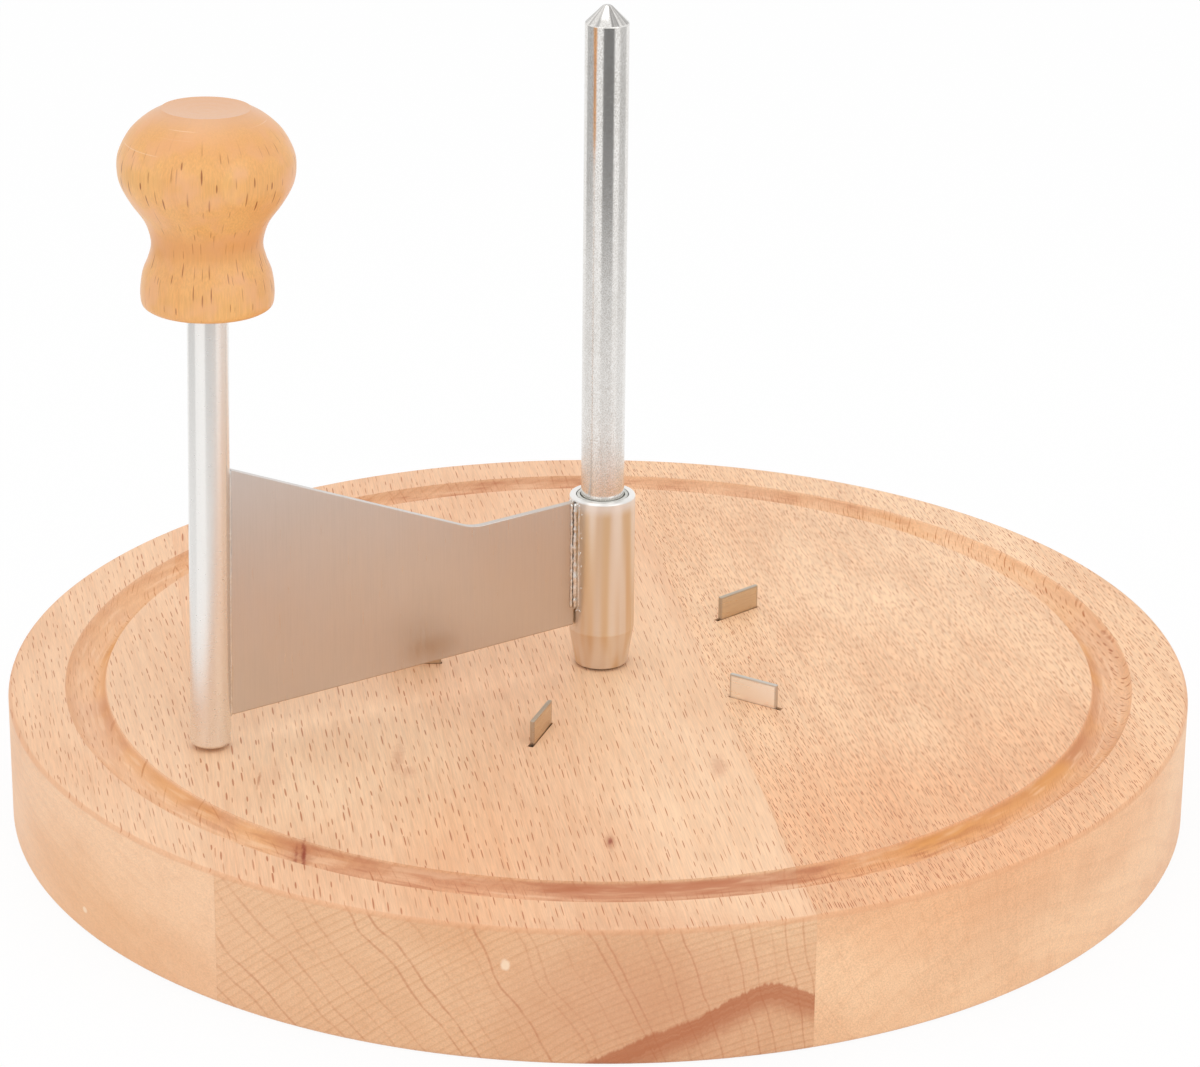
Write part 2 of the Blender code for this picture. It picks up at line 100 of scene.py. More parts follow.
def colour(name, red, green, blue, description):
    """A colour given as 0 to 255 on a screen, kept as Blender's linear values."""
    linear = []
    for level in (red, green, blue):
        share = level / 255
        linear.append(share / 12.92 if share <= 0.04045 else ((share + 0.055) / 1.055) ** 2.4)
    settings = {"size": 4, "min": 0.0, "max": 1.0, "subtype": "COLOR"}
    return FloatVectorProperty(name=name, default=(*linear, 1.0), description=description, **settings)


class CurlerBoard(bpy.types.PropertyGroup):
    diameter: length("Diameter", 0.22, "Across the round board")
    thickness: length("Thickness", BOARD_HIGH.z, "Height of the board's top over the table")
    top_round: length("Top edge", 0.0009, "Radius of the eased upper edge")
    bottom_round: length("Bottom edge", 0.0011, "Radius of the eased lower edge")
    groove_inset: length("Groove inset", 0.0141, "From the rim to the middle of the juice groove")
    groove_nose: length("Groove radius", 0.004, "Radius of the round cutter that made the groove")
    groove_depth: length("Groove depth", 0.0026, "Depth of the juice groove")
    left_stave: length("Left stave", 0.0332, "Greatest width of the left stave")
    right_seam: length("Right seam", 0.0195, "From the spindle's axis to the right glue line")
    glue_line: length("Glue line", 0.00001, "Width of the glue line between two staves")
    stave_turn: turn("Stave turn", 8.76, "How far the staves lie turned from the depth axis")
    left_wood: colour("Left stave", 245, 202, 164, "Wood of the left stave")
    centre_wood: colour("Centre stave", 243, 196, 157, "Wood of the centre stave")
    right_wood: colour("Right stave", 248, 204, 163, "Wood of the right stave")
    ring_wood: colour("Growth rings", 222, 165, 122, "Darker late wood of the growth rings")
    ray_wood: colour("Rays", 176, 86, 34, "The short dark dashes of the wood's rays")
    # Partly burnished wood and partly painted shade in the groove, darkest on its inner wall; also used for
    # darker patches on the centre stave
    groove_wood_and_shade: colour("Groove", 200, 134, 98, "Tint of the wood in the groove")
    pale_wood_and_painted_light: colour("Pale wood", 252, 214, 176, "Broad paler stretches")
    pink_wood: colour("Pink wood", 240, 182, 136, "Broad redder stretches")
    golden_wood: colour("Golden wood", 228, 164, 96, "Golden patches in the groove")
    edge_wood: colour("Edge", 222, 158, 114, "The eased upper edge")
    pale_speck: colour("Pale specks", 253, 226, 196, "Small pale marks")
    heart_wood: colour("Red heart", 182, 106, 66, "Red heart low on the front")
    stain_wood: colour("Stain", 150, 66, 42, "Knots and the darkest stains")
    # Painted shade: darkens the wood inside the narrow slots
    slot_painted_shade: colour("Slots", 84, 52, 34, "Painted shade inside the sawn slots")


class CurlerSpindle(bpy.types.PropertyGroup):
    diameter: length("Diameter", 0.008, "Across the spindle")
    top: length("Top", SPINDLE_HIGH.z, "Height of the spindle's point over the table")
    bottom: length("Bottom", 0.0103, "Height of the spindle's foot in the board")
    point: length("Point", 0.0032, "Height of the cone at the top")
    tip: length("Tip", 0.0018, "Across the blunt end of the cone")
    washer_diameter: length("Washer", 0.016, "Across the washer under the board")
    washer_thickness: length("Washer thickness", 0.0012, "Thickness of the washer")
    screw_diameter: length("Screw", 0.005, "Across the screw's shank")
    screw_head: length("Screw head", 0.0095, "Across the screw's head")
    screw_head_height: length("Head height", 0.00275, "Height of the screw's head")
    screw_socket: length("Socket", 0.003, "Across the flats of the socket")
    recess_floor: length("Recess", 0.0055, "Depth of the recess under the board")
    recess_radius: length("Recess radius", 0.010, "Radius of the recess under the board")
    hole_floor: length("Hole floor", 0.010, "Height of the floor of the spindle's hole")


class CurlerSpikes(bpy.types.PropertyGroup):
    length: length("Length", 0.010, "Length of a cheese spike along the board")
    height: length("Height", 0.0046, "How far a spike stands over the board")
    root: length("Root", 0.008, "How deep a spike stands in the board")
    thickness: length("Thickness", 0.0008, "Thickness of a spike")
    circle: length("Circle", 0.035, "Radius of the circle that the spikes stand on")
    side_gap: length("Slot gap", 0.00015, "Gap between a spike and its slot")
    end_spare: length("Slot end", 0.001, "Spare length at one end of a slot")
    # Painted light and shade: the spikes are one steel; most get the darker shaded colour and one the lighter
    # lit colour
    shaded_spike_steel: colour("Shaded spikes", 214, 196, 168, "The steel of most of the spikes")
    lit_spike_steel: colour("Bright spike", 250, 246, 240, "The brighter steel of one spike")
    edge_steel: colour("Edges", 176, 166, 154, "The sheared edges of the spikes")


class CurlerCrank(bpy.types.PropertyGroup):
    azimuth: turn("Azimuth", 209.5, "Direction of the blade, from +X")
    hub_radius: length("Hub radius", 0.0061, "Radius of the hub")
    hub_top: length("Hub top", 0.0339, "Height of the hub's top over the board")
    hub_foot: length("Hub foot", 0.0004, "Height of the hub's foot over the board")
    hub_taper: length("Hub taper", 0.0071, "Height of the hub's narrowing foot")
    hub_bore: length("Bore radius", 0.0042, "Radius of the hub's bore")
    bush_radius: length("Bush radius", 0.00475, "Outer radius of the bush")
    bush_seat: length("Bush seat", 0.0049, "Radius of the hub's bore for the bush")
    foot_wall: length("Foot wall", 0.0007, "Wall of the hub at its foot")
    blade_thickness: length("Blade thickness", 0.0012, "Thickness of the scraping blade")
    blade_hub_low: length("Blade by the hub", 0.009, "Height of the blade's lower edge at the hub")
    blade_hub_high: length("Blade top by the hub", 0.0334, "Height of the blade's upper edge at the hub")
    blade_post_low: length("Blade by the post", 0.0053, "Height of the blade's lower edge at the post")
    blade_post_high: length("Blade top by the post", 0.0518, "Height of the blade's upper edge at the post")
    notch_reach: length("Notch reach", 0.0272, "From the spindle's axis to the blade's notch")
    notch_height: length("Notch height", 0.0322, "Height of the notch over the board")
    notch_round: length("Notch round", 0.010, "Radius at the bottom of the notch")
    edge_gap: length("Edge gap", 0.00025, "Gap between the blade and the round pieces beside it")
    post_diameter: length("Post", 0.0072, "Across the post")
    post_reach: length("Post reach", 0.0797, "From the spindle's axis to the foot of the post")
    post_foot: length("Post foot", 0.0006, "Height of the post's foot over the board")
    post_lean: turn("Post lean", 1.1, "How far the post leans towards the spindle")
    post_length: length("Post length", 0.1037, "From the post's foot to its top, inside the knob")
    steel: colour("Steel", 242, 240, 237, "Ground steel")
    blade_steel: colour("Blade steel", 214, 208, 204, "The blade's brushed steel")
    steel_shade: colour("Brushing", 204, 199, 193, "The darker strokes of the brushing")
    weld_shade: colour("Weld", 214, 208, 202, "The darker hollows of the weld beads")
    # Painted reflection: dark streaks round the spindle's cone
    cone_shade: colour("Cone", 128, 126, 124, "The dark strokes on the spindle's cone")
    # The welding's straw tint beside a weld, also laid as painted shade: on the hub's foot, along the blade's
    # lower edge, as a dark painted reflection on the blade, and as the shaded spikes' darker brushing
    heat_tint_and_painted_shade: colour("Heat tint", 186, 158, 128, "Tint of the steel beside a weld")
    # The hub's wall tint from the welding, laid in upright stripes that are painted reflections
    hub_steel: colour("Hub steel", 224, 202, 170, "The hub's welding tint, in painted reflection stripes")


class CurlerKnob(bpy.types.PropertyGroup):
    diameter: length("Diameter", 0.0303, "Across the widest part of the knob")
    height: length("Height", 0.0349, "Height of the knob")
    seat: length("Seat", 0.0817, "From the post's foot to the knob's underside")
    bore: length("Bore radius", 0.0053, "Radius of the bore for the bush")
    bore_depth: length("Bore depth", 0.0223, "Depth of the bore")
    wood: colour("Wood", 239, 181, 110, "Wood of the knob")
    pink_wood: colour("Pink wood", 239, 178, 128, "Redder patches of the knob")
    disc_wood: colour("Top disc", 222, 170, 130, "The sanded disc on the knob")
    ring_wood: colour("Growth rings", 224, 152, 84, "Darker late wood of the knob")
    ray_wood: colour("Rays", 156, 88, 36, "Dashes of the knob's rays")
    bush: colour("Bush", 222, 222, 216, "The plastic of the bushes")


class CurlerStage(bpy.types.PropertyGroup):
    fill_light: FloatProperty(name="Fill", default=0.87, description="Strength of the light from all round")
    key_light: power("Key", 1.1, "Power of the large soft lamp overhead")
    side_light: power("Side", 0.85, "Power of the soft lamp on the viewer's right")
    front_light: power("Front", 0.65, "Power of the soft lamp on the viewer's left")
    floor: colour("Floor", 250, 250, 250, "The plain floor")
    focal_length: FloatProperty(
        name="Lens", default=115.55, description="Focal length", unit="CAMERA", subtype="DISTANCE_CAMERA"
    )


def leave_all():
    """Leaves edit mode and selects nothing."""
    if bpy.context.mode != "OBJECT":
        bpy.ops.object.mode_set(mode="OBJECT")
    bpy.ops.object.select_all(action="DESELECT")


def pick(piece):
    leave_all()
    piece.select_set(True)
    bpy.context.view_layer.objects.active = piece


def settle(piece):
    """Puts the piece's place, turn and scale into its mesh."""
    pick(piece)
    bpy.ops.object.transform_apply(location=True, rotation=True, scale=True)


def start(name, operator, stretch=(1.0, 1.0, 1.0), **settings):
    """A new primitive under this name, with its place and stretch in its mesh."""
    leave_all()
    operator(**settings)
    piece = bpy.context.object
    piece.name = name
    piece.scale = stretch
    settle(piece)
    return piece


def work_on(piece):
    """Opens the piece in edit mode with all of its mesh selected."""
    pick(piece)
    bpy.ops.object.mode_set(mode="EDIT")
    bpy.ops.mesh.select_mode(type="VERT")
    bpy.ops.mesh.select_all(action="SELECT")


def close_up(smooth_angle=SHARP_ANGLE):
    """Merges doubled corners, turns the faces outwards and shades the piece in edit mode smooth."""
    bpy.ops.mesh.select_all(action="SELECT")
    bpy.ops.mesh.remove_doubles(threshold=MERGE_DISTANCE)
    bpy.ops.mesh.normals_make_consistent(inside=False)
    bpy.ops.object.mode_set(mode="OBJECT")
    bpy.ops.object.shade_smooth_by_angle(angle=smooth_angle)


def drawn_line(name, points, closed=False):
    """A wire through (x, z) points in edit mode, drawn by extruding one corner after another."""
    x, z = points[0]
    piece = start(name, bpy.ops.mesh.primitive_plane_add, size=START_SIZE, location=(x, 0.0, z))
    work_on(piece)
    bpy.ops.mesh.merge(type="CENTER")
    stops = [*points, points[0]] if closed else points
    for (x0, z0), (x1, z1) in zip(stops, stops[1:]):
        bpy.ops.mesh.extrude_vertices_move(TRANSFORM_OT_translate={"value": (x1 - x0, 0.0, z1 - z0)})
    bpy.ops.mesh.select_all(action="SELECT")
    if closed:
        bpy.ops.mesh.remove_doubles(threshold=MERGE_DISTANCE)
        bpy.ops.mesh.select_all(action="SELECT")
    return piece


def turned(name, profile, steps=ROD_STEPS, closed=False, smooth_angle=SHARP_ANGLE):
    """A turned solid: half its outline in (radius, height), spun round the Z axis."""
    piece = drawn_line(name, profile, closed)
    bpy.ops.mesh.spin(steps=steps, angle=2 * math.pi, center=(0, 0, 0), axis=(0, 0, 1))
    close_up(smooth_angle)
    return piece


def ring_profile(outer, inner, low, high, edge=0.0):
    """The closed section of a ring, with its outer corners taken off by edge."""
    corners = [(outer, high), (outer, low)]
    if edge:
        corners = [(outer - edge, high), (outer, high - edge), (outer, low + edge), (outer - edge, low)]
    return [*corners, (inner, low), (inner, high)]


def arc(centre, radius, start_angle, end_angle, steps):
    """Points round a centre from one angle to another, both ends included."""
    points = []
    for i in range(steps + 1):
        angle = start_angle + (end_angle - start_angle) * i / steps
        points.append((centre[0] + radius * math.cos(angle), centre[1] + radius * math.sin(angle)))
    return points


def smooth_line(points, steps):
    """A Catmull-Rom line through the points, with this many steps between each pair."""
    ends = [points[0], *points, points[-1]]
    line = []
    for run in zip(ends, ends[1:], ends[2:], ends[3:]):
        for i in range(steps):
            t = i / steps
            place = []
            for a, b, c, d in zip(*run):
                bend = (2 * a - 5 * b + 4 * c - d) * t**2 + (3 * b - a - 3 * c + d) * t**3
                place.append((2 * b + (c - a) * t + bend) / 2)
            line.append(tuple(place))
    return [*line, points[-1]]


def copy_of(piece, name):
    pick(piece)
    bpy.ops.object.duplicate(linked=False)
    made = bpy.context.object
    made.name = name
    return made


def remove(piece):
    bpy.data.objects.remove(piece, do_unlink=True)


def cut_away(piece, cutter):
    """Takes the cutter's shape out of the piece, and removes the cutter."""
    pick(piece)
    modifier = piece.modifiers.new("Cut", "BOOLEAN")
    modifier.operation = "DIFFERENCE"
    modifier.object = cutter
    bpy.ops.object.modifier_apply(modifier=modifier.name)
    remove(cutter)


def shade_smooth(piece):
    pick(piece)
    bpy.ops.object.shade_smooth_by_angle(angle=SHARP_ANGLE)


def join_into(piece, others):
    """Joins the others into the piece as one mesh."""
    pick(piece)
    for other in others:
        other.select_set(True)
    bpy.ops.object.join()
    return bpy.context.object


def soften_edges(piece, width, segments=2, sharpness=SHARP_ANGLE):
    """Rounds every sharp edge of the piece."""
    work_on(piece)
    bpy.ops.mesh.select_mode(type="EDGE")
    bpy.ops.mesh.select_all(action="DESELECT")
    bpy.ops.mesh.edges_select_sharp(sharpness=sharpness)
    bpy.ops.mesh.bevel(offset=width, segments=segments, affect="EDGES", clamp_overlap=True)
    close_up()


def block(name, low, high):
    """A box between two corners."""
    low, high = Vector(low), Vector(high)
    return start(name, bpy.ops.mesh.primitive_cube_add, high - low, size=1.0, location=(low + high) / 2)


def put(piece, place):
    """Moves a piece that was modelled at the origin to its place, which goes into its mesh."""
    piece.matrix_world = place
    settle(piece)


def finish_piece(piece, body, node, finish):
    """Gives the piece its material, and hands it over to its body in the frame."""
    piece.data.materials.clear()
    piece.data.materials.append(finish.material)
    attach(piece, body)
    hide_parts(node)


def crank_place(scene):
    """Where the crank's own axes stand: +Z up the spindle from the board's top, +X along the blade."""
    top = Matrix.Translation((0.0, 0.0, scene.curler_board.thickness))
    return top @ Matrix.Rotation(scene.curler_crank.azimuth, 4, "Z")


def handle_place(scene):
    """Where the handle's own axes stand: +Z up the post from its foot."""
    crank = scene.curler_crank
    foot = Matrix.Translation((crank.post_reach, 0.0, crank.post_foot))
    return crank_place(scene) @ foot @ Matrix.Rotation(-crank.post_lean, 4, "Y")


class Value:
    """One output of a node. What is worked out from it becomes further nodes of the same tree."""

    def __init__(self, draw, socket):
        self.draw = draw
        self.socket = socket

    def maths(self, operation, *others):
        return self.draw.maths(operation, self, *others)

    def __add__(self, other):
        return self.maths("ADD", other)

    def __sub__(self, other):
        return self.maths("SUBTRACT", other)

    def __rsub__(self, other):
        return self.draw.maths("SUBTRACT", other, self)

    def __mul__(self, other):
        return self.maths("MULTIPLY", other)

    def __truediv__(self, other):
        return self.maths("DIVIDE", other)

    def __abs__(self):
        return self.maths("ABSOLUTE")

    def ramp(self, low, high, from_value=0.0, to_value=1.0):
        """Goes smoothly from one value to another while this one goes from low to high."""
        ends = {"From_Min": low, "From_Max": high, "To_Min": from_value, "To_Max": to_value}
        settings = {"interpolation_type": "SMOOTHSTEP"}
        return self.draw.read("ShaderNodeMapRange", settings, Value=self, **ends)["Result"]

    def noise(self, scale=1.0, detail=2.0, roughness=0.5):
        settings = {"Scale": scale, "Detail": detail, "Roughness": roughness}
        return self.draw.read("ShaderNodeTexNoise", Vector=self, **settings)["Fac"]

    def split(self):
        """The three parts of a vector or a colour."""
        if self.socket.type == "RGBA":
            return self.draw.read("ShaderNodeSeparateColor", Color=self).values()
        return self.draw.read("ShaderNodeSeparateXYZ", Vector=self).values()

    def round_axis(self):
        """How far the vector lies from the Z axis, and its height."""
        x, y, z = self.split()
        return self.draw.joined(x, y).maths("LENGTH"), z

    def seen_from(self, place):
        """The vector as it reads from this place's own axes."""
        axes = {"Location": place.to_translation(), "Rotation": place.to_euler()}
        return self.draw.read("ShaderNodeMapping", {"vector_type": "TEXTURE"}, Vector=self, **axes)["Vector"]


class Sketch:
    """Adds nodes to one node tree and links them."""

    def __init__(self, tree):
        self.tree = tree

    def feed(self, socket, value):
        if isinstance(value, Value):
            self.tree.links.new(value.socket, socket)
        else:
            socket.default_value = value

    def add(self, kind, settings=None, **inputs):
        """A node with these settings, and inputs by name with spaces as underscores."""
        made = self.tree.nodes.new(kind)
        for name, value in (settings or {}).items():
            setattr(made, name, value)
        for name, value in inputs.items():
            self.feed(made.inputs[name.replace("_", " ")], value)
        return made

    def read(self, kind, settings=None, **inputs):
        """The outputs of such a node, by name."""
        return {socket.name: Value(self, socket) for socket in self.add(kind, settings, **inputs).outputs}

    def numbered(self, kind, settings, inputs, output):
        """One output of a node whose inputs share names and go by their numbers."""
        made = self.add(kind, settings)
        for number, value in inputs.items():
            self.feed(made.inputs[number], value)
        return Value(self, made.outputs[output])

    def maths(self, operation, *values):
        """Arithmetic with numbers, or with vectors where the first value is one."""
        on_vector = isinstance(values[0], Value) and values[0].socket.type == "VECTOR"
        if on_vector:
            values = [(value,) * 3 if isinstance(value, float) else value for value in values]
        kind = "ShaderNodeVectorMath" if on_vector else "ShaderNodeMath"
        output = "Vector" if on_vector and operation != "LENGTH" else "Value"
        return self.numbered(kind, {"operation": operation}, dict(enumerate(values)), output)

    def joined(self, x, y, z=0.0):
        return self.read("ShaderNodeCombineXYZ", X=x, Y=y, Z=z)["Vector"]

    def mix(self, share, first, second, blend="MIX"):
        """Two colours mixed."""
        settings = {"data_type": "RGBA", "blend_type": blend}
        return self.numbered("ShaderNodeMix", settings, {0: share, 6: first, 7: second}, 2)

    def blend(self, share, first, second):
        """Two numbers mixed."""
        return self.numbered("ShaderNodeMix", {"data_type": "FLOAT"}, {0: share, 2: first, 3: second}, 0)

    def mix_shaders(self, share, first, second):
        return self.numbered("ShaderNodeMixShader", {}, {0: share, 1: first, 2: second}, 0)

    def chance(self, value):
        """A random number and a random colour for every whole number."""
        return self.read("ShaderNodeTexWhiteNoise", {"noise_dimensions": "1D"}, W=value.maths("FLOOR"))

    def group(self, tree, **inputs):
        return self.read("ShaderNodeGroup", {"node_tree": tree}, **inputs)


class Finish(Sketch):
    """A material, with the object's own coordinates in here and its normal in facing."""

    def __init__(self, name):
        self.material = bpy.data.materials.new(name)
        self.material.use_nodes = True
        super().__init__(self.material.node_tree)
        self.shader = self.tree.nodes["Principled BSDF"]
        coordinates = self.read("ShaderNodeTexCoord")
        self.here = coordinates["Object"]
        self.facing = coordinates["Normal"]

    def shade(self, **inputs):
        for name, value in inputs.items():
            self.feed(self.shader.inputs[name.replace("_", " ")], value)

    def surface(self, tint, roughness, height, relief):
        """Sets tint, roughness and bump, from a height in millimetres and the strength of its relief."""
        self.tint = tint
        bump = self.read("ShaderNodeBump", Height=height, Strength=relief, Distance=1 / MILLIMETRES)
        self.shade(Base_Color=tint, Roughness=roughness, Normal=bump["Normal"])

    def paint(self, share, shade, blend="MIX"):
        """Lays a colour over the tint so far."""
        self.tint = self.mix(share, self.tint, shade, blend)
        self.shade(Base_Color=self.tint)

    def spot(self, vector, centre, reach, edge, ragged=0.3, grit=1000.0):
        """The mask of a soft spot round one place."""
        shape = {"Centre": centre, "Reach": reach, "Edge": edge, "Ragged": ragged, "Grit": grit}
        return self.group(soft_spot(), Vector=vector, **shape)["Mask"]


GREY = (0.5, 0.5, 0.5, 1.0)
SURFACE_SOCKETS = {"Color": "NodeSocketColor", "Roughness": "NodeSocketFloat", "Height": "NodeSocketFloat"}


def socket_kind(value):
    if isinstance(value, float):
        return "NodeSocketFloat"
    return "NodeSocketColor" if len(value) == 4 else "NodeSocketVector"


def new_group(name, inputs, outputs):
    """An empty node group with these inputs, by name and default, and these outputs, by name and kind."""
    tree = bpy.data.node_groups.new(name, "ShaderNodeTree")
    for title, value in inputs.items():
        socket = tree.interface.new_socket(title, in_out="INPUT", socket_type=socket_kind(value))
        socket.default_value = value
    for title, kind in outputs.items():
        tree.interface.new_socket(title, in_out="OUTPUT", socket_type=kind)
    draw = Sketch(tree)
    return draw, draw.read("NodeGroupInput"), draw.add("NodeGroupOutput").inputs


def once(maker):
    """Makes a node group the first time that it is asked for."""
    made = []

    def ask():
        if not made:
            made.append(maker())
        return made[0]

    return ask


# Distances in millimetres, as in the grain's group
PITH_DISTANCE = 110.0
KNOB_RAY_DISTANCE = 13.0
END_RAY_GAP = 3.4
END_GRAIN_TINT = (0.91, 0.9, 0.86, 1.0)

# One column for each piece of beech
GRAIN_NODES = ("board_stave_left", "board_stave_centre", "board_stave_right", "handle_knob")
GRAIN_LOOKS = {
    "Ring Width": (2.2, 1.2, 3.4, 3.0),
    "Ring Strength": (0.35, 0.5, 0.45, 0.5),
    "Ray Gap": (1.0, 1.15, 0.62, 2.4),
    "Ray Step": (5.2, 5.8, 3.5, 4.4),
    "Ray Share": (0.95, 0.94, 1.0, 0.95),
    "Ray Length": (3.6, 4.2, 2.5, 2.6),
    "Ray Width": (0.18, 0.18, 0.2, 0.28),
    "Ray Strength": (0.7, 0.75, 0.9, 1.0),
    "Waviness": (4.0, 2.5, 9.0, 6.0),
    "End Strength": (0.08, 1.0, 0.3, 0.3),
    "Fibre Strength": (1.5, 1.7, 2.2, 1.6),
}


@once
def beech_grain():
    """Rings, rays, fibres and tints of beech: +Y runs along the grain, and the pith is the Y axis."""
    defaults = {
        "Vector": (0.0, 0.0, 0.0),
        "Normal": (0.0, 0.0, 1.0),
        "Wood": GREY,
        "Ring Wood": GREY,
        "Ray Wood": GREY,
        "Ray Vector": (0.0, 0.0, 0.0),
        "Ray Distance": PITH_DISTANCE,
        "All Round": 0.0,
        **{name: row[0] for name, row in GRAIN_LOOKS.items()},
    }
    draw, given, result = new_group("Beech grain", defaults, SURFACE_SOCKETS)
    place = given["Vector"] * MILLIMETRES
    x, _, z = place.split()
    swell = (place * (0.02, 0.006, 0.02)).noise() - 0.5
    radius = (x * x + z * z).maths("SQRT") + swell * given["Waviness"]
    lean = (place * (0.05, 0.012, 0.05)).noise(detail=1.0)
    _, facing_along, facing_up = given["Normal"].split()
    end = abs(facing_along).ramp(0.35, 0.9)

    years = radius / given["Ring Width"] + lean * 2.0
    year = years.maths("FRACT")
    face_late = year.ramp(0.25, 0.9) * year.ramp(1.0, 0.92) * 0.45
    end_late = year.ramp(0.5, 0.88) * year.ramp(1.0, 0.93) * given["End Strength"]
    late = draw.blend(end, face_late, end_late) * draw.chance(years)["Value"].ramp(0.0, 1.0, 0.5, 1.0)
    late = late * given["Ring Strength"]

    ray_x, ray_y, ray_z = (given["Ray Vector"] * MILLIMETRES).split()
    around = ray_x.maths("ARCTAN2", ray_z) * given["Ray Distance"]
    around = around + lean * draw.blend(given["All Round"], 3.0, 0.4)
    cells = draw.joined(around / given["Ray Gap"], ray_y / given["Ray Step"])
    flat = {"voronoi_dimensions": "2D"}
    nearest = draw.read("ShaderNodeTexVoronoi", flat, Vector=cells, Scale=1.0, Randomness=0.85)
    red, green, blue = nearest["Color"].split()
    off_x, off_y, _ = (cells - nearest["Position"]).split()
    off_x = off_x * given["Ray Gap"] / (given["Ray Width"] * blue.ramp(0.0, 1.0, 0.4, 0.6))
    off_y = off_y * given["Ray Step"] / (given["Ray Length"] * green.ramp(0.0, 1.0, 0.3, 0.65))
    ray = draw.joined(off_x, off_y).maths("LENGTH").ramp(1.0, 0.6)
    ray = ray * red.maths("LESS_THAN", given["Ray Share"])
    ray = ray * blue.ramp(0.0, 1.0, 0.55, 1.0) * given["Ray Strength"]
    ray = ray * abs(facing_up).ramp(0.3, 0.6).maths("MAXIMUM", given["All Round"]) * (1.0 - end)

    wave = (place * (0.09, 0.01, 0.09)).noise()
    spot = (around + wave * 2.6) / END_RAY_GAP
    red, green, _ = draw.chance(spot)["Color"].split()
    off = abs(spot.maths("FRACT") - red.ramp(0.0, 1.0, 0.2, 0.8))
    broken = (place * (0.35, 0.02, 0.35)).noise().ramp(0.3, 0.6, 0.45, 1.0)
    end_share = end * given["End Strength"]
    end_ray = off.ramp(0.075, 0.015) * green.ramp(0.0, 1.0, 0.35, 1.0) * broken * end_share

    fibre = (place * (3.6, 0.16, 3.6)).noise(detail=3.0, roughness=0.65)
    streak = (place * (0.5, 0.02, 0.5)).noise()
    cloud = (place * (0.07, 0.025, 0.07)).noise(detail=3.0)
    tint = draw.mix(late, given["Wood"], given["Ring Wood"])
    tint = draw.mix(cloud.ramp(0.42, 0.66, 0.0, 0.3), tint, given["Ring Wood"])
    tint = draw.mix(streak.ramp(0.45, 0.75, 0.0, 0.16), tint, given["Ring Wood"])
    light = fibre.ramp(0.25, 0.75, -0.055, 0.055) * given["Fibre Strength"] + 1.0
    tint = draw.mix(1.0, tint, draw.joined(light, light, light), "MULTIPLY")
    tint = draw.mix(end_share, tint, END_GRAIN_TINT, "MULTIPLY")
    tint = draw.mix(end_ray * 0.42, tint, given["Ray Wood"])
    draw.feed(result["Color"], draw.mix(ray, tint, given["Ray Wood"]))
    draw.feed(result["Roughness"], fibre.ramp(0.2, 0.8, 0.42, 0.55))
    draw.feed(result["Height"], fibre * 0.02 - ray * 0.004)
    return draw.tree


@once
def soft_spot():
    """A soft-edged patch round one place."""
    defaults = {
        "Vector": (0.0, 0.0, 0.0),
        "Centre": (0.0, 0.0, 0.0),
        "Reach": (1.0, 1.0, 1.0),
        "Edge": 0.5,
        "Ragged": 0.3,
        "Grit": 1000.0,
    }
    draw, given, result = new_group("Soft spot", defaults, {"Mask": "NodeSocketFloat"})
    away = ((given["Vector"] - given["Centre"]) / given["Reach"]).maths("LENGTH")
    grit = given["Vector"].noise(given["Grit"], detail=3.0) - 0.5
    away = away + grit * given["Ragged"]
    draw.feed(result["Mask"], away.ramp(1.0, 1.0 - given["Edge"]))
    return draw.tree


@once
def brushed_steel():
    """Strokes, clouds and fine scratches of ground steel; Strokes is how many there are in a millimetre."""
    defaults = {
        "Vector": (0.0, 0.0, 0.0),
        "Strokes": (5.0, 5.0, 0.2),
        "Steel": GREY,
        "Shade": GREY,
        "Stroke Strength": 0.5,
        "Cloud Strength": 0.3,
        "Roughness": 0.3,
        "Roughness Spread": 1.0,
    }
    draw, given, result = new_group("Brushed steel", defaults, SURFACE_SOCKETS)
    place = given["Vector"] * MILLIMETRES
    stroke = (place * given["Strokes"]).noise(detail=3.0, roughness=0.65)
    broad = (place * 0.2 * given["Strokes"]).noise()
    cloud = (place * 0.09).noise(detail=3.0)
    scratch = (place * (0.9, 0.9, 6.0)).noise(detail=1.0).ramp(0.70, 0.78) * cloud.ramp(0.5, 0.6)
    strokes = stroke.ramp(0.3, 0.7) + broad.ramp(0.3, 0.7) * 0.2
    shade = strokes * given["Stroke Strength"] + cloud.ramp(0.35, 0.65) * given["Cloud Strength"]
    draw.feed(result["Color"], draw.mix(shade.ramp(0.0, 1.0), given["Steel"], given["Shade"]))
    spread = stroke.ramp(0.2, 0.8, -0.22, 0.22) * given["Roughness Spread"]
    draw.feed(result["Roughness"], given["Roughness"] * (spread + 1.0) + scratch * 0.08)
    draw.feed(result["Height"], stroke * 0.02 - scratch * 0.005)
    return draw.tree


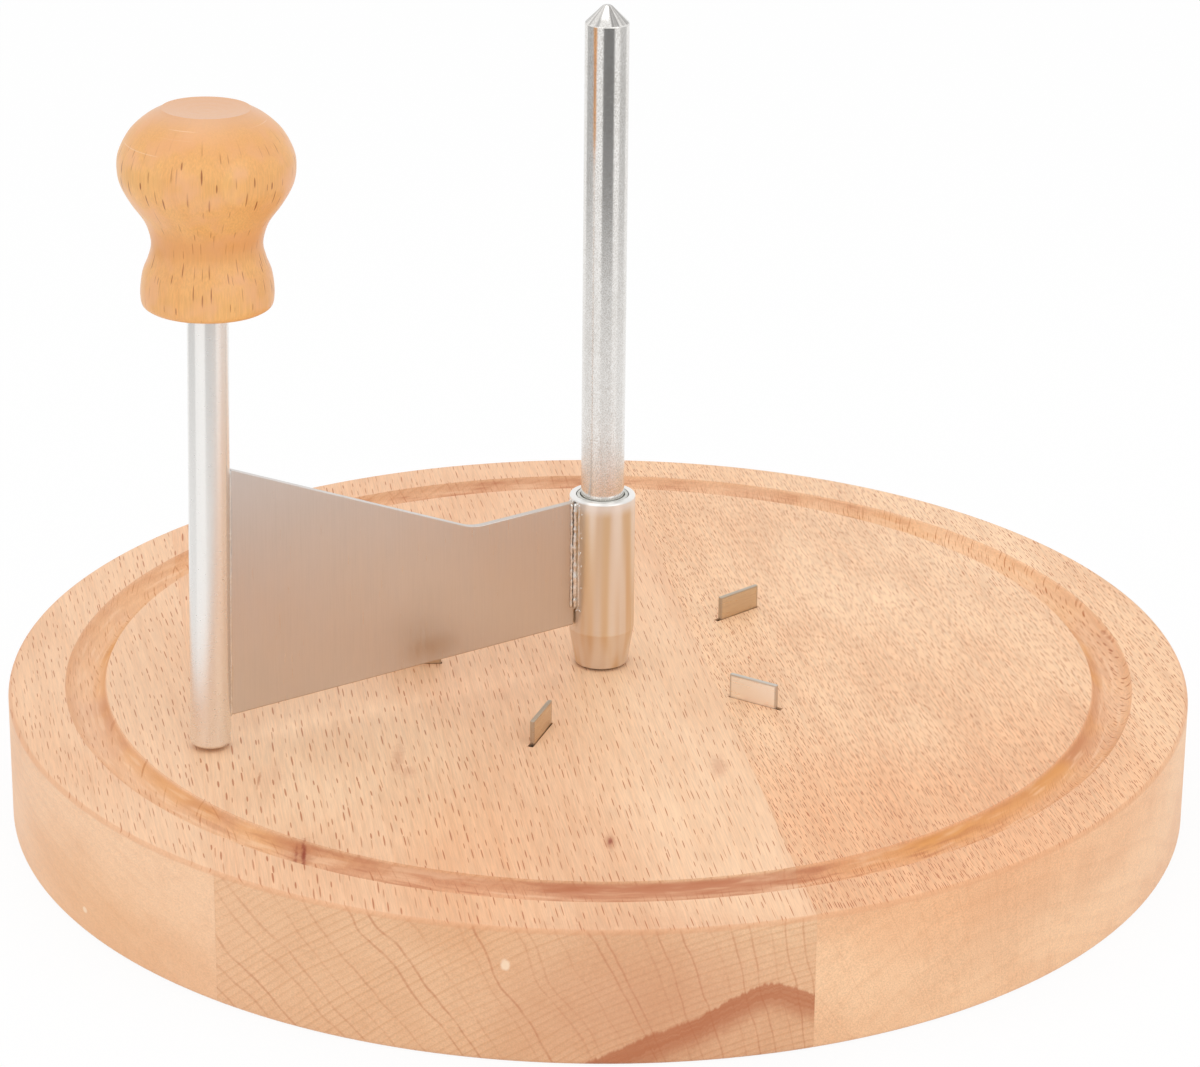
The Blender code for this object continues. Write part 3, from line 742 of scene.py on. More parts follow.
# A tint is a centre and a reach along the board, a paint and a strength
# A spot is a centre, a reach, how soft and how ragged its edge is, a paint and a strength
STAVE_LOOKS = {
    "board_stave_left": {
        "wood": "left_wood",
        "pith": (-0.150, -0.070),
        "grain_turn": 4.0,
        "tints": [],
        "spots": [
            ((-0.0890, -0.0660, 0.0050), (0.0500, 0.0500, 0.0190), 1.0, 0.4, "golden_wood", 0.3),
            ((-0.0892, -0.0644, 0.0046), (0.0006, 0.0022, 0.0007), 0.5, 0.3, "pale_speck", 0.75),
        ],
    },
    "board_stave_centre": {
        "wood": "centre_wood",
        "pith": (0.030, -0.0874),
        "grain_turn": 0.0,
        "tints": [
            ((0.010, -0.045), (0.024, 0.120), "pale_wood_and_painted_light", 0.65),
            ((-0.034, -0.080), (0.016, 0.040), "pink_wood", 0.5),
            # Painted light: this pale patch lightens the board in front of the blade, where the blade's shade
            # falls
            ((-0.052, -0.038), (0.034, 0.046), "pale_wood_and_painted_light", 0.75),
        ],
        "spots": [
            ((0.0019, -0.0772, 0.0246), (0.0014, 0.0050, 0.0020), 0.95, 0.5, "heart_wood", 0.6),
            ((0.0019, -0.0770, 0.0246), (0.0006, 0.0017, 0.0020), 0.8, 0.4, "stain_wood", 0.8),
            ((0.0211, -0.0468, 0.0246), (0.0022, 0.0062, 0.0020), 0.9, 0.8, "groove_wood_and_shade", 0.4),
            ((-0.0358, -0.0440, 0.0246), (0.0017, 0.0095, 0.0020), 1.0, 1.0, "groove_wood_and_shade", 0.4),
            ((-0.0337, -0.0500, 0.0246), (0.0022, 0.0040, 0.0020), 1.0, 0.8, "groove_wood_and_shade", 0.35),
            ((-0.0596, -0.0535, 0.0246), (0.0004, 0.0050, 0.0020), 0.9, 0.9, "heart_wood", 0.6),
            ((-0.0570, -0.0520, 0.0246), (0.0034, 0.0100, 0.0020), 1.0, 0.6, "groove_wood_and_shade", 0.2),
            ((-0.0503, -0.0798, 0.0230), (0.0034, 0.0060, 0.0030), 1.0, 0.8, "heart_wood", 0.7),
            ((-0.0498, -0.0790, 0.0230), (0.0006, 0.0046, 0.0026), 0.9, 1.2, "stain_wood", 0.9),
            ((-0.0511, -0.0806, 0.0230), (0.0005, 0.0040, 0.0026), 0.9, 1.2, "stain_wood", 0.8),
            ((-0.0410, -0.0850, 0.0230), (0.0090, 0.0050, 0.0026), 1.0, 0.8, "groove_wood_and_shade", 0.5),
            ((0.0080, -0.1090, 0.0110), (0.0400, 0.0140, 0.0230), 1.0, 0.5, "groove_wood_and_shade", 0.45),
            ((-0.0150, -0.1090, 0.0179), (0.0010, 0.0010, 0.0013), 0.5, 0.5, "pale_speck", 0.75),
        ],
    },
    "board_stave_right": {
        "wood": "right_wood",
        "pith": (0.055, -0.045),
        "grain_turn": 3.0,
        "tints": [
            ((0.034, -0.085), (0.040, 0.060), "pink_wood", 0.8),
            ((0.075, 0.045), (0.050, 0.070), "pale_wood_and_painted_light", 0.6),
            ((0.072, -0.072), (0.030, 0.060), "pink_wood", 0.5),
        ],
        "spots": [],
    },
}

TINT_REACH_DOWN = 0.018
SKIN = 0.0001
# Radii and heights of the painted shade inside the slots
SLOT_ZONE_RADII = (0.048, 0.045)
SLOT_FLOOR_HEIGHTS = (0.010, 0.013)
STREAKS_ROUND = 9.0
STREAKS_OUTWARD = 1100.0


def lay_grain(finish, node, place, wood, source, relief, **values):
    """Beech grain for one piece, read from a place with +Y along the grain and the pith on its Y axis."""
    local = finish.here.seen_from(place)
    facing = finish.facing.seen_from(place.to_3x3().to_4x4())
    woods = {"Wood": wood, "Ring_Wood": source.ring_wood, "Ray_Wood": source.ray_wood}
    look = {name: row[GRAIN_NODES.index(node)] for name, row in GRAIN_LOOKS.items()}
    values = {"Ray_Vector": local, **woods, **look, **values}
    grain = finish.group(beech_grain(), Vector=local, Normal=facing, **values)
    finish.surface(grain["Color"], grain["Roughness"], grain["Height"], relief)
    return grain


def board_finish(board, node):
    """Oiled beech for one stave, with the groove's tint and painted shade, the marks that stave has, and
    painted shade in its slots.
    """
    look = STAVE_LOOKS[node]
    finish = Finish(f"Oiled beech, {node.split('_')[-1]} stave")
    across, height = look["pith"]
    along = Matrix.Rotation(board.stave_turn + math.radians(look["grain_turn"]), 4, "Z")
    place = along @ Matrix.Translation((across, 0.0, height))
    wood = getattr(board, look["wood"])
    lay_grain(finish, node, place, wood, board, 0.6)
    for centre, reach, paint, strength in look["tints"]:
        centre = (*centre, board.thickness)
        reach = (*reach, TINT_REACH_DOWN)
        spot = finish.spot(finish.here.seen_from(along), centre, reach, 0.7, 0.5, 30.0)
        ratio = (part / whole for part, whole in zip(getattr(board, paint)[:3], wood[:3]))
        finish.paint(spot * strength, (*ratio, 1.0), "MULTIPLY")
    radius, z = finish.here.round_axis()
    tint_and_shade_groove(finish, board, radius, z)
    rim = radius.ramp(board.diameter / 2 - 0.9 * board.top_round, board.diameter / 2 - 0.5 * board.top_round)
    high = z.ramp(board.thickness - 1.1 * board.top_round, board.thickness - 0.6 * board.top_round)
    finish.paint(rim * high * 0.4, board.edge_wood)
    for centre, reach, edge, ragged, paint, strength in look["spots"]:
        spot = finish.spot(finish.here, centre, reach, edge, ragged)
        finish.paint(spot * strength, getattr(board, paint))
    if node == "board_stave_centre":
        stain_heart(finish, board, place)
    # Painted shade inside the narrow slots, below the board's top
    slot_shade_mask = z.ramp(board.thickness - SKIN, board.thickness - 7 * SKIN) * z.ramp(*SLOT_FLOOR_HEIGHTS)
    finish.paint(slot_shade_mask * radius.ramp(*SLOT_ZONE_RADII) * 0.7, board.slot_painted_shade)
    finish.shade(Specular_IOR_Level=0.35)
    return finish


def tint_and_shade_groove(finish, board, radius, z):
    """The groove's darker wood: partly burnished wood, a little darker all over, and partly painted shade,
    most on the groove's inner wall.
    """
    middle = board.diameter / 2 - board.groove_inset
    depth = board.groove_depth
    inside = abs(radius - middle).ramp(board.groove_nose, board.groove_nose * 0.8)
    inside = inside * z.ramp(board.thickness - SKIN, board.thickness - 5 * SKIN)
    inside = inside * z.ramp(board.thickness - 2 * depth, board.thickness - 1.5 * depth)
    patches = finish.here.noise(38.0)
    # Painted shade on the groove's inner wall
    inner = radius.ramp(middle - 0.1 * board.groove_nose, middle - 0.85 * board.groove_nose)
    share = inner * patches.ramp(0.38, 0.62, 0.4, 0.7) + patches.ramp(0.35, 0.65, 0.16, 0.34)
    x, y, _ = finish.here.split()
    golden = finish.here.noise(60.0).ramp(0.35, 0.55, 0.3, 1.0) * abs(x).ramp(0.028, 0.055)
    finish.paint(inside * share, finish.mix(golden, board.groove_wood_and_shade, board.golden_wood))
    outward = finish.joined(x, y).maths("NORMALIZE") * STREAKS_ROUND
    streaks = (outward + finish.joined(0.0, 0.0, radius * STREAKS_OUTWARD)).noise()
    finish.paint(inside * streaks.ramp(0.52, 0.7, 0.0, 0.4), board.pale_wood_and_painted_light)
    front = abs(x).ramp(0.085, 0.045, 0.1, 0.5)
    finish.paint(inside * front * streaks.ramp(0.5, 0.32), board.heart_wood)


# Distances from the pith in millimetres: where the heart's colour ends, and where it is palest and fullest
HEART_EDGE = (100.7, 100.0)
HEART_DEPTH = (93.5, 98.4)
# Places along the grain in millimetres, between which the heart comes in towards the front
HEART_FRONT = (-70.0, -95.0)
# Places along the front in metres, and how many millimetres the heart's rings rise and dip between them
HEART_RISE = (0.0148, 0.0275, 0.0, 2.2)
HEART_DIP = (0.0275, 0.0375, 0.0, 4.6)


def stain_heart(finish, board, place):
    """The red heart low on the front of the rim, bounded by growth rings, with a darker upper edge."""
    local = finish.here.seen_from(place) * MILLIMETRES
    x, y, z = local.split()
    ragged = (local * (1.4, 0.05, 0.3)).noise() - 0.5
    radius = (x * x + z * z).maths("SQRT") + ragged * 1.6
    sideways, _, _ = finish.here.split()
    radius = radius - sideways.ramp(*HEART_RISE) + sideways.ramp(*HEART_DIP)
    stain = radius.ramp(*HEART_EDGE) * radius.ramp(*HEART_DEPTH, 0.10, 1.0)
    layers = finish.joined(radius * 1.6, x * 0.06).noise()
    stain = stain * layers.ramp(0.35, 0.6, 0.85, 1.0) * y.ramp(*HEART_FRONT)
    finish.paint(stain * 0.85, board.heart_wood)


def steel_finish(
    crank, name, place, strokes, roughness, strength, steel=None, shade=None, relief=0.35, spread=1.0
):
    """Ground steel with its strokes along or round the piece's own axes."""
    finish = Finish(name)
    tints = {"Steel": steel or crank.steel, "Shade": shade or crank.steel_shade}
    amounts = {"Stroke_Strength": strength[0], "Cloud_Strength": strength[1], "Roughness_Spread": spread}
    local = finish.here.seen_from(place)
    steel = finish.group(
        brushed_steel(), Vector=local, Strokes=strokes, Roughness=roughness, **tints, **amounts
    )
    finish.surface(steel["Color"], steel["Roughness"], steel["Height"], relief)
    finish.shade(Metallic=1.0)
    return finish


def turned_finish(crank, name, place, strokes, roughness, strength, anisotropy):
    """Steel finished on a lathe: its fine rings draw reflections out along the piece."""
    finish = steel_finish(crank, name, place, strokes, roughness, strength, relief=0.01, spread=0.1)
    round_axis = finish.read("ShaderNodeTangent", {"direction_type": "RADIAL", "axis": "Z"})
    finish.shade(Anisotropic=anisotropy, Anisotropic_Rotation=0.25, Tangent=round_axis["Tangent"])
    return finish


def tint_hub_with_painted_light(crank, finish, place):
    """The welding's straw tint on the hub's wall, and not on its ground top, in upright stripes that are
    painted reflections; and painted shade on the narrowed foot.
    """
    local = finish.here.seen_from(place)
    _, _, z = local.split()
    wall = z.ramp(crank.hub_top - 6 * SKIN, crank.hub_top - 30 * SKIN)
    # Painted reflections: upright stripes round the hub's wall
    reflection_stripes = (local * (380.0, 380.0, 18.0)).noise(detail=1.0)
    finish.paint(wall * reflection_stripes.ramp(0.36, 0.62, 0.3, 1.0), crank.hub_steel)
    seat = crank.hub_foot + crank.hub_taper
    # Painted shade on the narrowed foot below the seat
    finish.paint(z.ramp(seat + SKIN, seat - 2 * SKIN, 0.0, 0.14), crank.heat_tint_and_painted_shade)


def darken_edges(spikes, finish, place):
    """The grey sheared border of a spike's two faces."""
    x, _, z = finish.here.seen_from(place).split()
    to_edge = (spikes.length / 2 - abs(x)).maths("MINIMUM", spikes.height - z)
    finish.paint(to_edge.ramp(5 * SKIN, 2 * SKIN, 0.0, 0.7), spikes.edge_steel)


def paint_cone_reflections(spindle, finish, crank):
    """Painted reflections: dark upright streaks round the spindle's cone."""
    x, y, z = finish.here.split()
    strokes = finish.joined(x, y).maths("NORMALIZE").noise(2.6, 3.0).ramp(0.42, 0.62, 0.0, 0.8)
    cone_foot = spindle.top - spindle.point
    finish.paint(z.ramp(cone_foot - SKIN, cone_foot + 2 * SKIN) * strokes, crank.cone_shade)


KNOB_PITH = (0.010, -0.075)


def knob_finish(scene):
    """Varnished beech of the knob, its grain standing up along the post, with painted shade on its upper
    shoulder and in its neck.
    """
    knob = scene.curler_knob
    finish = Finish("Varnished beech of the knob")
    upright = Matrix.Rotation(math.pi / 2, 4, "X")
    place = handle_place(scene) @ Matrix.Translation((*KNOB_PITH, knob.seat)) @ upright
    rays = {"Ray_Vector": finish.here.seen_from(handle_place(scene) @ upright)}
    rays["Ray_Distance"] = KNOB_RAY_DISTANCE
    grain = lay_grain(finish, "handle_knob", place, knob.wood, knob, 0.5, All_Round=1.0, **rays)
    own = finish.here.seen_from(handle_place(scene) @ Matrix.Translation((0.0, 0.0, knob.seat)))
    finish.paint(own.noise(190.0).ramp(0.40, 0.68, 0.0, 0.7), knob.pink_wood)
    radius, z = own.round_axis()
    high = z / knob.height
    # Painted shade over the upper shoulder
    finish.paint(high.ramp(0.74, 0.93, 0.0, 0.35), knob.ring_wood)
    disc = high.ramp(0.8, 0.94) * 0.85 * (radius / knob.diameter).ramp(0.42, 0.2)
    finish.paint(disc, knob.disc_wood)
    # Painted shade in the neck's crease
    finish.paint(abs(high - 0.36).ramp(0.13, 0.0, 0.0, 0.65), knob.ring_wood)
    marks = (finish.joined(radius, z) * 2600.0).noise(detail=1.0).ramp(0.6, 0.7)
    marks = marks * own.noise(90.0, 1.0).ramp(0.5, 0.62) * high.ramp(0.72, 0.86)
    finish.paint(marks * 0.4, scene.curler_board.pale_speck)
    finish.shade(Roughness=grain["Roughness"] - 0.08, Coat_Weight=0.25, Coat_Roughness=0.25)
    return finish


def bush_finish(scene):
    """Moulded plastic with faint flow marks."""
    finish = Finish("Moulded plastic of the bushes")
    flow = (finish.here * MILLIMETRES).noise(0.8, 3.0)
    base = scene.curler_knob.bush
    tint = finish.mix(flow.ramp(0.4, 0.7), base, (*(0.85 * level for level in base[:3]), 1.0))
    finish.surface(tint, flow.ramp(0.3, 0.7, 0.35, 0.5), flow * 0.02, 0.3)
    return finish


def board_profile(board):
    """Half the board's outline: top, groove, rim and underside."""
    radius = board.diameter / 2
    nose = board.groove_nose
    centre = (radius - board.groove_inset, board.thickness - board.groove_depth + nose)
    lip = math.asin((nose - board.groove_depth) / nose)
    top = (radius - board.top_round, board.thickness - board.top_round)
    bottom = (radius - board.bottom_round, board.bottom_round)
    return [
        (0.0, board.thickness),
        *arc(centre, nose, math.pi + lip, 2 * math.pi - lip, GROOVE_STEPS),
        *arc(top, board.top_round, math.pi / 2, 0.0, EDGE_STEPS),
        *arc(bottom, board.bottom_round, 0.0, -math.pi / 2, EDGE_STEPS),
        (0.0, 0.0),
    ]


SPIKE_AZIMUTHS = tuple(math.radians(degrees) for degrees in (252.2, 327.0, 42.6, 112.3, 182.3))
SPIKE_RADIUS_SHARES = (0.995, 0.96, 1.03, 1.0, 1.0)
SLOT_RUNS_OUTWARD = (True, True, False, True, True)
LIT_SPIKE = 1


def spike_place(scene, index):
    radius = scene.curler_spikes.circle * SPIKE_RADIUS_SHARES[index]
    azimuth = SPIKE_AZIMUTHS[index]
    stand = (radius * math.cos(azimuth), radius * math.sin(azimuth), scene.curler_board.thickness)
    return Matrix.Translation(stand) @ Matrix.Rotation(azimuth, 4, "Z")


def slot_cutter(scene, index):
    """The slot of one spike: a little wider all round, and longer at one end."""
    spikes = scene.curler_spikes
    half_width = spikes.thickness / 2 + spikes.side_gap
    inward = spikes.length / 2 + spikes.end_spare
    outward = spikes.length / 2 + spikes.side_gap
    if SLOT_RUNS_OUTWARD[index]:
        inward, outward = outward, inward
    low = (-inward, -half_width, -spikes.root - SEAT_GAP)
    cutter = block(f"slot_cutter_{index + 1}", low, (outward, half_width, CUT_OVERRUN))
    put(cutter, spike_place(scene, index))
    return cutter


def spindle_hole_cutter(scene):
    """The spindle's blind hole, the screw's hole in the web under it, and the recess in the underside."""
    spindle = scene.curler_spindle
    hole = spindle.diameter / 2 + SLIDE_GAP
    web_hole = spindle.screw_diameter / 2 + SCREW_GAP
    above = scene.curler_board.thickness + CUT_OVERRUN
    profile = [
        (0.0, above),
        (hole, above),
        (hole, spindle.hole_floor),
        (web_hole, spindle.hole_floor),
        (web_hole, spindle.recess_floor),
        (spindle.recess_radius, spindle.recess_floor),
        (spindle.recess_radius, -CUT_OVERRUN),
        (0.0, -CUT_OVERRUN),
    ]
    return turned("spindle_hole_cutter", profile, SMALL_STEPS)


def cut_side(piece, offset, direction, stave_turn):
    """Saws the piece along an upright plane and keeps the side away from the direction."""
    across = Vector((math.cos(stave_turn), math.sin(stave_turn), 0.0))
    work_on(piece)
    plane = {"plane_co": across * offset, "plane_no": across * direction}
    bpy.ops.mesh.bisect(use_fill=True, clear_outer=True, clear_inner=False, **plane)
    close_up()


class CURLER_OT_board(bpy.types.Operator):
    """Turn the round blank with its groove, and saw it into three staves"""

    bl_idname = "curler.board"
    bl_label = "Board staves"

    def execute(self, context):
        scene = context.scene
        board = scene.curler_board
        left_seam = board.left_stave - board.diameter / 2
        half_line = board.glue_line / 2
        blank = turned("board_blank", board_profile(board), RIM_STEPS)
        sides = {
            "left": ([(left_seam - half_line, 1)], []),
            "centre": ([(left_seam + half_line, -1), (board.right_seam - half_line, 1)], [0, 3, 4]),
            "right": ([(board.right_seam + half_line, -1)], [1, 2]),
        }
        for name, (cuts, slots) in sides.items():
            stave = copy_of(blank, f"stave_{name}")
            for offset, direction in cuts:
                cut_side(stave, offset, direction, board.stave_turn)
            for index in slots:
                cut_away(stave, slot_cutter(scene, index))
            if name == "centre":
                cut_away(stave, spindle_hole_cutter(scene))
            shade_smooth(stave)
            node = f"board_stave_{name}"
            finish_piece(stave, "board", node, board_finish(board, node))
        remove(blank)
        return {"FINISHED"}


class CURLER_OT_spindle(bpy.types.Operator):
    """Turn the spindle with its point, and the washer and screw under the board"""

    bl_idname = "curler.spindle"
    bl_label = "Spindle and fixing"

    def execute(self, context):
        spindle = context.scene.curler_spindle
        crank = context.scene.curler_crank
        radius = spindle.diameter / 2
        tip = spindle.tip / 2
        cone_foot = spindle.top - spindle.point
        shank = spindle.screw_diameter / 2
        bore = shank + SLIDE_GAP
        bore_end = spindle.bottom + 0.012
        profile = [
            (0.0, spindle.top),
            (tip - 2 * FINE_EDGE, spindle.top),
            (tip, spindle.top - FINE_EDGE),
            (radius - FINE_EDGE, cone_foot + FINE_EDGE),
            (radius, cone_foot - FINE_EDGE),
            (radius, spindle.bottom + ROD_END),
            (radius - ROD_END, spindle.bottom),
            (bore, spindle.bottom),
            (bore, bore_end),
            (0.0, bore_end + bore / 2),
        ]
        rod = turned("spindle_rod", profile, smooth_angle=math.radians(20))
        name = "Ground steel of the spindle"
        finish = steel_finish(crank, name, Matrix(), (5.0, 5.0, 3.2), 0.17, (0.6, 0.1))
        paint_cone_reflections(spindle, finish, crank)
        finish_piece(rod, "board", "spindle", finish)

        zinc = steel_finish(crank, "Zinc plate of the fixing", Matrix(), (1.5, 1.5, 1.5), 0.3, (0.6, 0.5))
        washer_top = spindle.recess_floor - SEAT_GAP
        washer_low = washer_top - spindle.washer_thickness
        hole = shank + SCREW_GAP
        ring = ring_profile(spindle.washer_diameter / 2, hole, washer_low, washer_top, edge=0.0002)
        washer = turned("washer_under_board", ring, SMALL_STEPS, closed=True)
        finish_piece(washer, "board", "spindle_washer", zinc)

        head_top = washer_low - SEAT_GAP
        head = spindle.screw_head / 2
        dome = spindle.screw_head_height * 2 / 3
        centre = head_top - spindle.screw_head_height / 3
        crown = arc((0.0, 0.0), 1.0, 0.0, -math.pi / 2, EDGE_STEPS)
        shank_end = spindle.hole_floor + 0.0105
        profile = [
            (0.0, shank_end),
            (shank, shank_end),
            (shank, head_top),
            (head, head_top),
            *((head * x, centre + dome * z) for x, z in crown[:-1]),
            (0.0, centre - dome),
        ]
        screw = turned("screw_under_board", profile, SMALL_STEPS)
        socket = start(
            "screw_socket",
            bpy.ops.mesh.primitive_cylinder_add,
            vertices=6,
            radius=spindle.screw_socket / math.sqrt(3),
            depth=0.0032,
            location=(0.0, 0.0, head_top - spindle.screw_head_height),
        )
        cut_away(screw, socket)
        shade_smooth(screw)
        finish_piece(screw, "board", "spindle_screw", zinc)
        return {"FINISHED"}


class CURLER_OT_spikes(bpy.types.Operator):
    """Cut one cheese spike with eased edges, and copy it round the spindle"""

    bl_idname = "curler.spikes"
    bl_label = "Cheese spikes"

    def execute(self, context):
        scene = context.scene
        spikes = scene.curler_spikes
        crank = scene.curler_crank
        low = (-spikes.length / 2, -spikes.thickness / 2, -spikes.root)
        first = block("spike_pattern", low, (spikes.length / 2, spikes.thickness / 2, spikes.height))
        soften_edges(first, width=0.00018, segments=3)
        for index in range(len(SPIKE_AZIMUTHS)):
            spike = copy_of(first, f"spike_plate_{index + 1}")
            place = spike_place(scene, index)
            put(spike, place)
            # Painted light and shade: most spikes get the shaded steel, and one the lit steel
            tints = (spikes.shaded_spike_steel, crank.heat_tint_and_painted_shade)
            if index == LIT_SPIKE:
                tints = (spikes.lit_spike_steel, spikes.lit_spike_steel)
            name = f"Sheared steel of spike {index + 1}"
            finish = steel_finish(crank, name, place, (0.25, 4.0, 4.0), 0.32, (0.3, 0.1), *tints)
            darken_edges(spikes, finish, place)
            finish_piece(spike, "board", f"cheese_spike_{index + 1}", finish)
        remove(first)
        return {"FINISHED"}


class CURLER_OT_hub(bpy.types.Operator):
    """Turn the hub with its narrowed foot, and the bush inside it"""

    bl_idname = "curler.hub"
    bl_label = "Hub and bush"

    def execute(self, context):
        scene = context.scene
        crank = scene.curler_crank
        radius = crank.hub_radius
        top = crank.hub_top
        foot = crank.hub_foot
        seat = foot + crank.hub_taper
        chamfer = 0.00035
        foot_radius = crank.hub_bore + crank.foot_wall
        profile = [
            (radius - chamfer, top),
            (radius - chamfer / 4, top - chamfer / 3),
            (radius, top - chamfer),
            (radius, seat + FINE_EDGE),
            (radius - FINE_EDGE / 3, seat - FINE_EDGE),
            (foot_radius + FINE_EDGE, foot + 2 * FINE_EDGE),
            (foot_radius - FINE_EDGE, foot),
            (crank.hub_bore, foot),
            (crank.hub_bore, seat),
            (crank.bush_seat, seat),
            (crank.bush_seat, top - FINE_EDGE),
            (crank.bush_seat + FINE_EDGE, top),
        ]
        place = crank_place(scene)
        hub = turned("hub_tube", profile, closed=True, smooth_angle=math.radians(5))
        put(hub, place)
        name = "Turned steel of the hub"
        finish = turned_finish(crank, name, place, (0.5, 0.5, 6.0), 0.3, (0.12, 0.1), 0.85)
        tint_hub_with_painted_light(crank, finish, place)
        finish_piece(hub, "crank", "hub_sleeve", finish)

        ring = ring_profile(crank.bush_radius, crank.hub_bore, seat + SEAT_GAP, top - SKIN, edge=0.00008)
        bush = turned("bush_ring", ring, closed=True)
        put(bush, place)
        finish_piece(bush, "lift_bush", "hub_bush", bush_finish(scene))
        return {"FINISHED"}


def post_edge(crank, height):
    """How far the blade's outer edge stands from the spindle's axis at a height above the board."""
    axis = crank.post_reach - (height - crank.post_foot) * math.tan(crank.post_lean)
    return axis - (crank.post_diameter / 2 + crank.edge_gap) / math.cos(crank.post_lean)


def notch_arc(before, notch, after, radius, steps):
    """The round that joins the two straight runs of the blade's upper edge."""
    notch = Vector(notch)
    to_before = (Vector(before) - notch).normalized()
    to_after = (Vector(after) - notch).normalized()
    half_angle = to_before.angle(to_after) / 2
    centre = notch + (to_before + to_after).normalized() * radius / math.sin(half_angle)
    run = radius / math.tan(half_angle)
    first = notch + to_before * run - centre
    last = notch + to_after * run - centre
    return arc(centre, radius, math.atan2(*first.yx), math.atan2(*last.yx), steps)


class CURLER_OT_blade(bpy.types.Operator):
    """Cut the scraping blade with the notch in its upper edge"""

    bl_idname = "curler.blade"
    bl_label = "Scraping blade"

    def execute(self, context):
        scene = context.scene
        crank = scene.curler_crank
        hub_edge = crank.hub_radius + crank.edge_gap
        post_top = (post_edge(crank, crank.blade_post_high), crank.blade_post_high)
        corner = (hub_edge, crank.blade_hub_high)
        notch = (crank.notch_reach, crank.notch_height)
        outline = [
            (hub_edge, crank.blade_hub_low),
            (post_edge(crank, crank.blade_post_low), crank.blade_post_low),
            post_top,
            *notch_arc(post_top, notch, corner, crank.notch_round, NOTCH_STEPS),
            corner,
        ]
        blade = drawn_line("blade_plate", outline, closed=True)
        bpy.ops.mesh.edge_face_add()
        bpy.ops.mesh.extrude_region_move(TRANSFORM_OT_translate={"value": (0.0, crank.blade_thickness, 0.0)})
        bpy.ops.mesh.select_all(action="SELECT")
        bpy.ops.transform.translate(value=(0.0, -crank.blade_thickness / 2, 0.0))
        close_up()
        soften_edges(blade, width=0.00013, sharpness=math.radians(50))
        put(blade, crank_place(scene))
        finish_piece(blade, "crank", "scraper_blade", blade_finish(scene))
        return {"FINISHED"}


# The blade's tints in the crank's own axes
HUB_HEAT_WIDTH = 0.0035
HUB_HEAT_HEIGHTS = (0.010, 0.014)
WARM_REACHES = (0.046, 0.010)
# Painted reflection: a soft dark patch low on the blade, where it mirrors the board
DARK_REFLECTION_PLACE = (0.036, 0.0, 0.0105)
DARK_REFLECTION_REACH = (0.0075, 0.002, 0.0035)
# Heights over the blade's lower edge, for the painted shade line along it
SHADE_LINE_HEIGHTS = (0.00030, 0.00012)


def blade_finish(scene):
    """The blade's upright brushing, the welding's straw tint beside the welds and warmer towards the hub, a
    painted dark reflection low on it, and a painted shade line along its lower edge.
    """
    crank = scene.curler_crank
    name = "Brushed steel of the blade"
    place = crank_place(scene)
    strokes = (5.0, 1.0, 0.12)
    finish = steel_finish(crank, name, place, strokes, 0.34, (0.25, 0.15), crank.blade_steel, relief=0.25)
    local = finish.here.seen_from(place)
    x, _, z = local.split()
    beside_hub = x.ramp(crank.hub_radius + HUB_HEAT_WIDTH, crank.hub_radius) * z.ramp(*HUB_HEAT_HEIGHTS)
    finish.paint(beside_hub * 0.35, crank.heat_tint_and_painted_shade)
    finish.paint(x.ramp(*WARM_REACHES, 0.0, 0.22), crank.heat_tint_and_painted_shade)
    # Painted reflection: a dark soft patch low on the blade
    dark_reflection = finish.spot(local, DARK_REFLECTION_PLACE, DARK_REFLECTION_REACH, 1.0, grit=300.0)
    finish.paint(dark_reflection * 0.45, crank.heat_tint_and_painted_shade)
    # Painted shade: a thin dark line along the blade's lower edge
    run = post_edge(crank, crank.blade_post_low) - crank.hub_radius
    slope = (crank.blade_post_low - crank.blade_hub_low) / run
    over_edge = z - ((x - crank.hub_radius) * slope + crank.blade_hub_low)
    finish.paint(over_edge.ramp(*SHADE_LINE_HEIGHTS, 0.0, 0.6), crank.heat_tint_and_painted_shade)
    return finish


RING_FROM_TOP = 0.003
RING_HEIGHT = 0.001
RING_SEAT_DEPTH = 0.0006
RING_OPENING_SHARE = 0.35


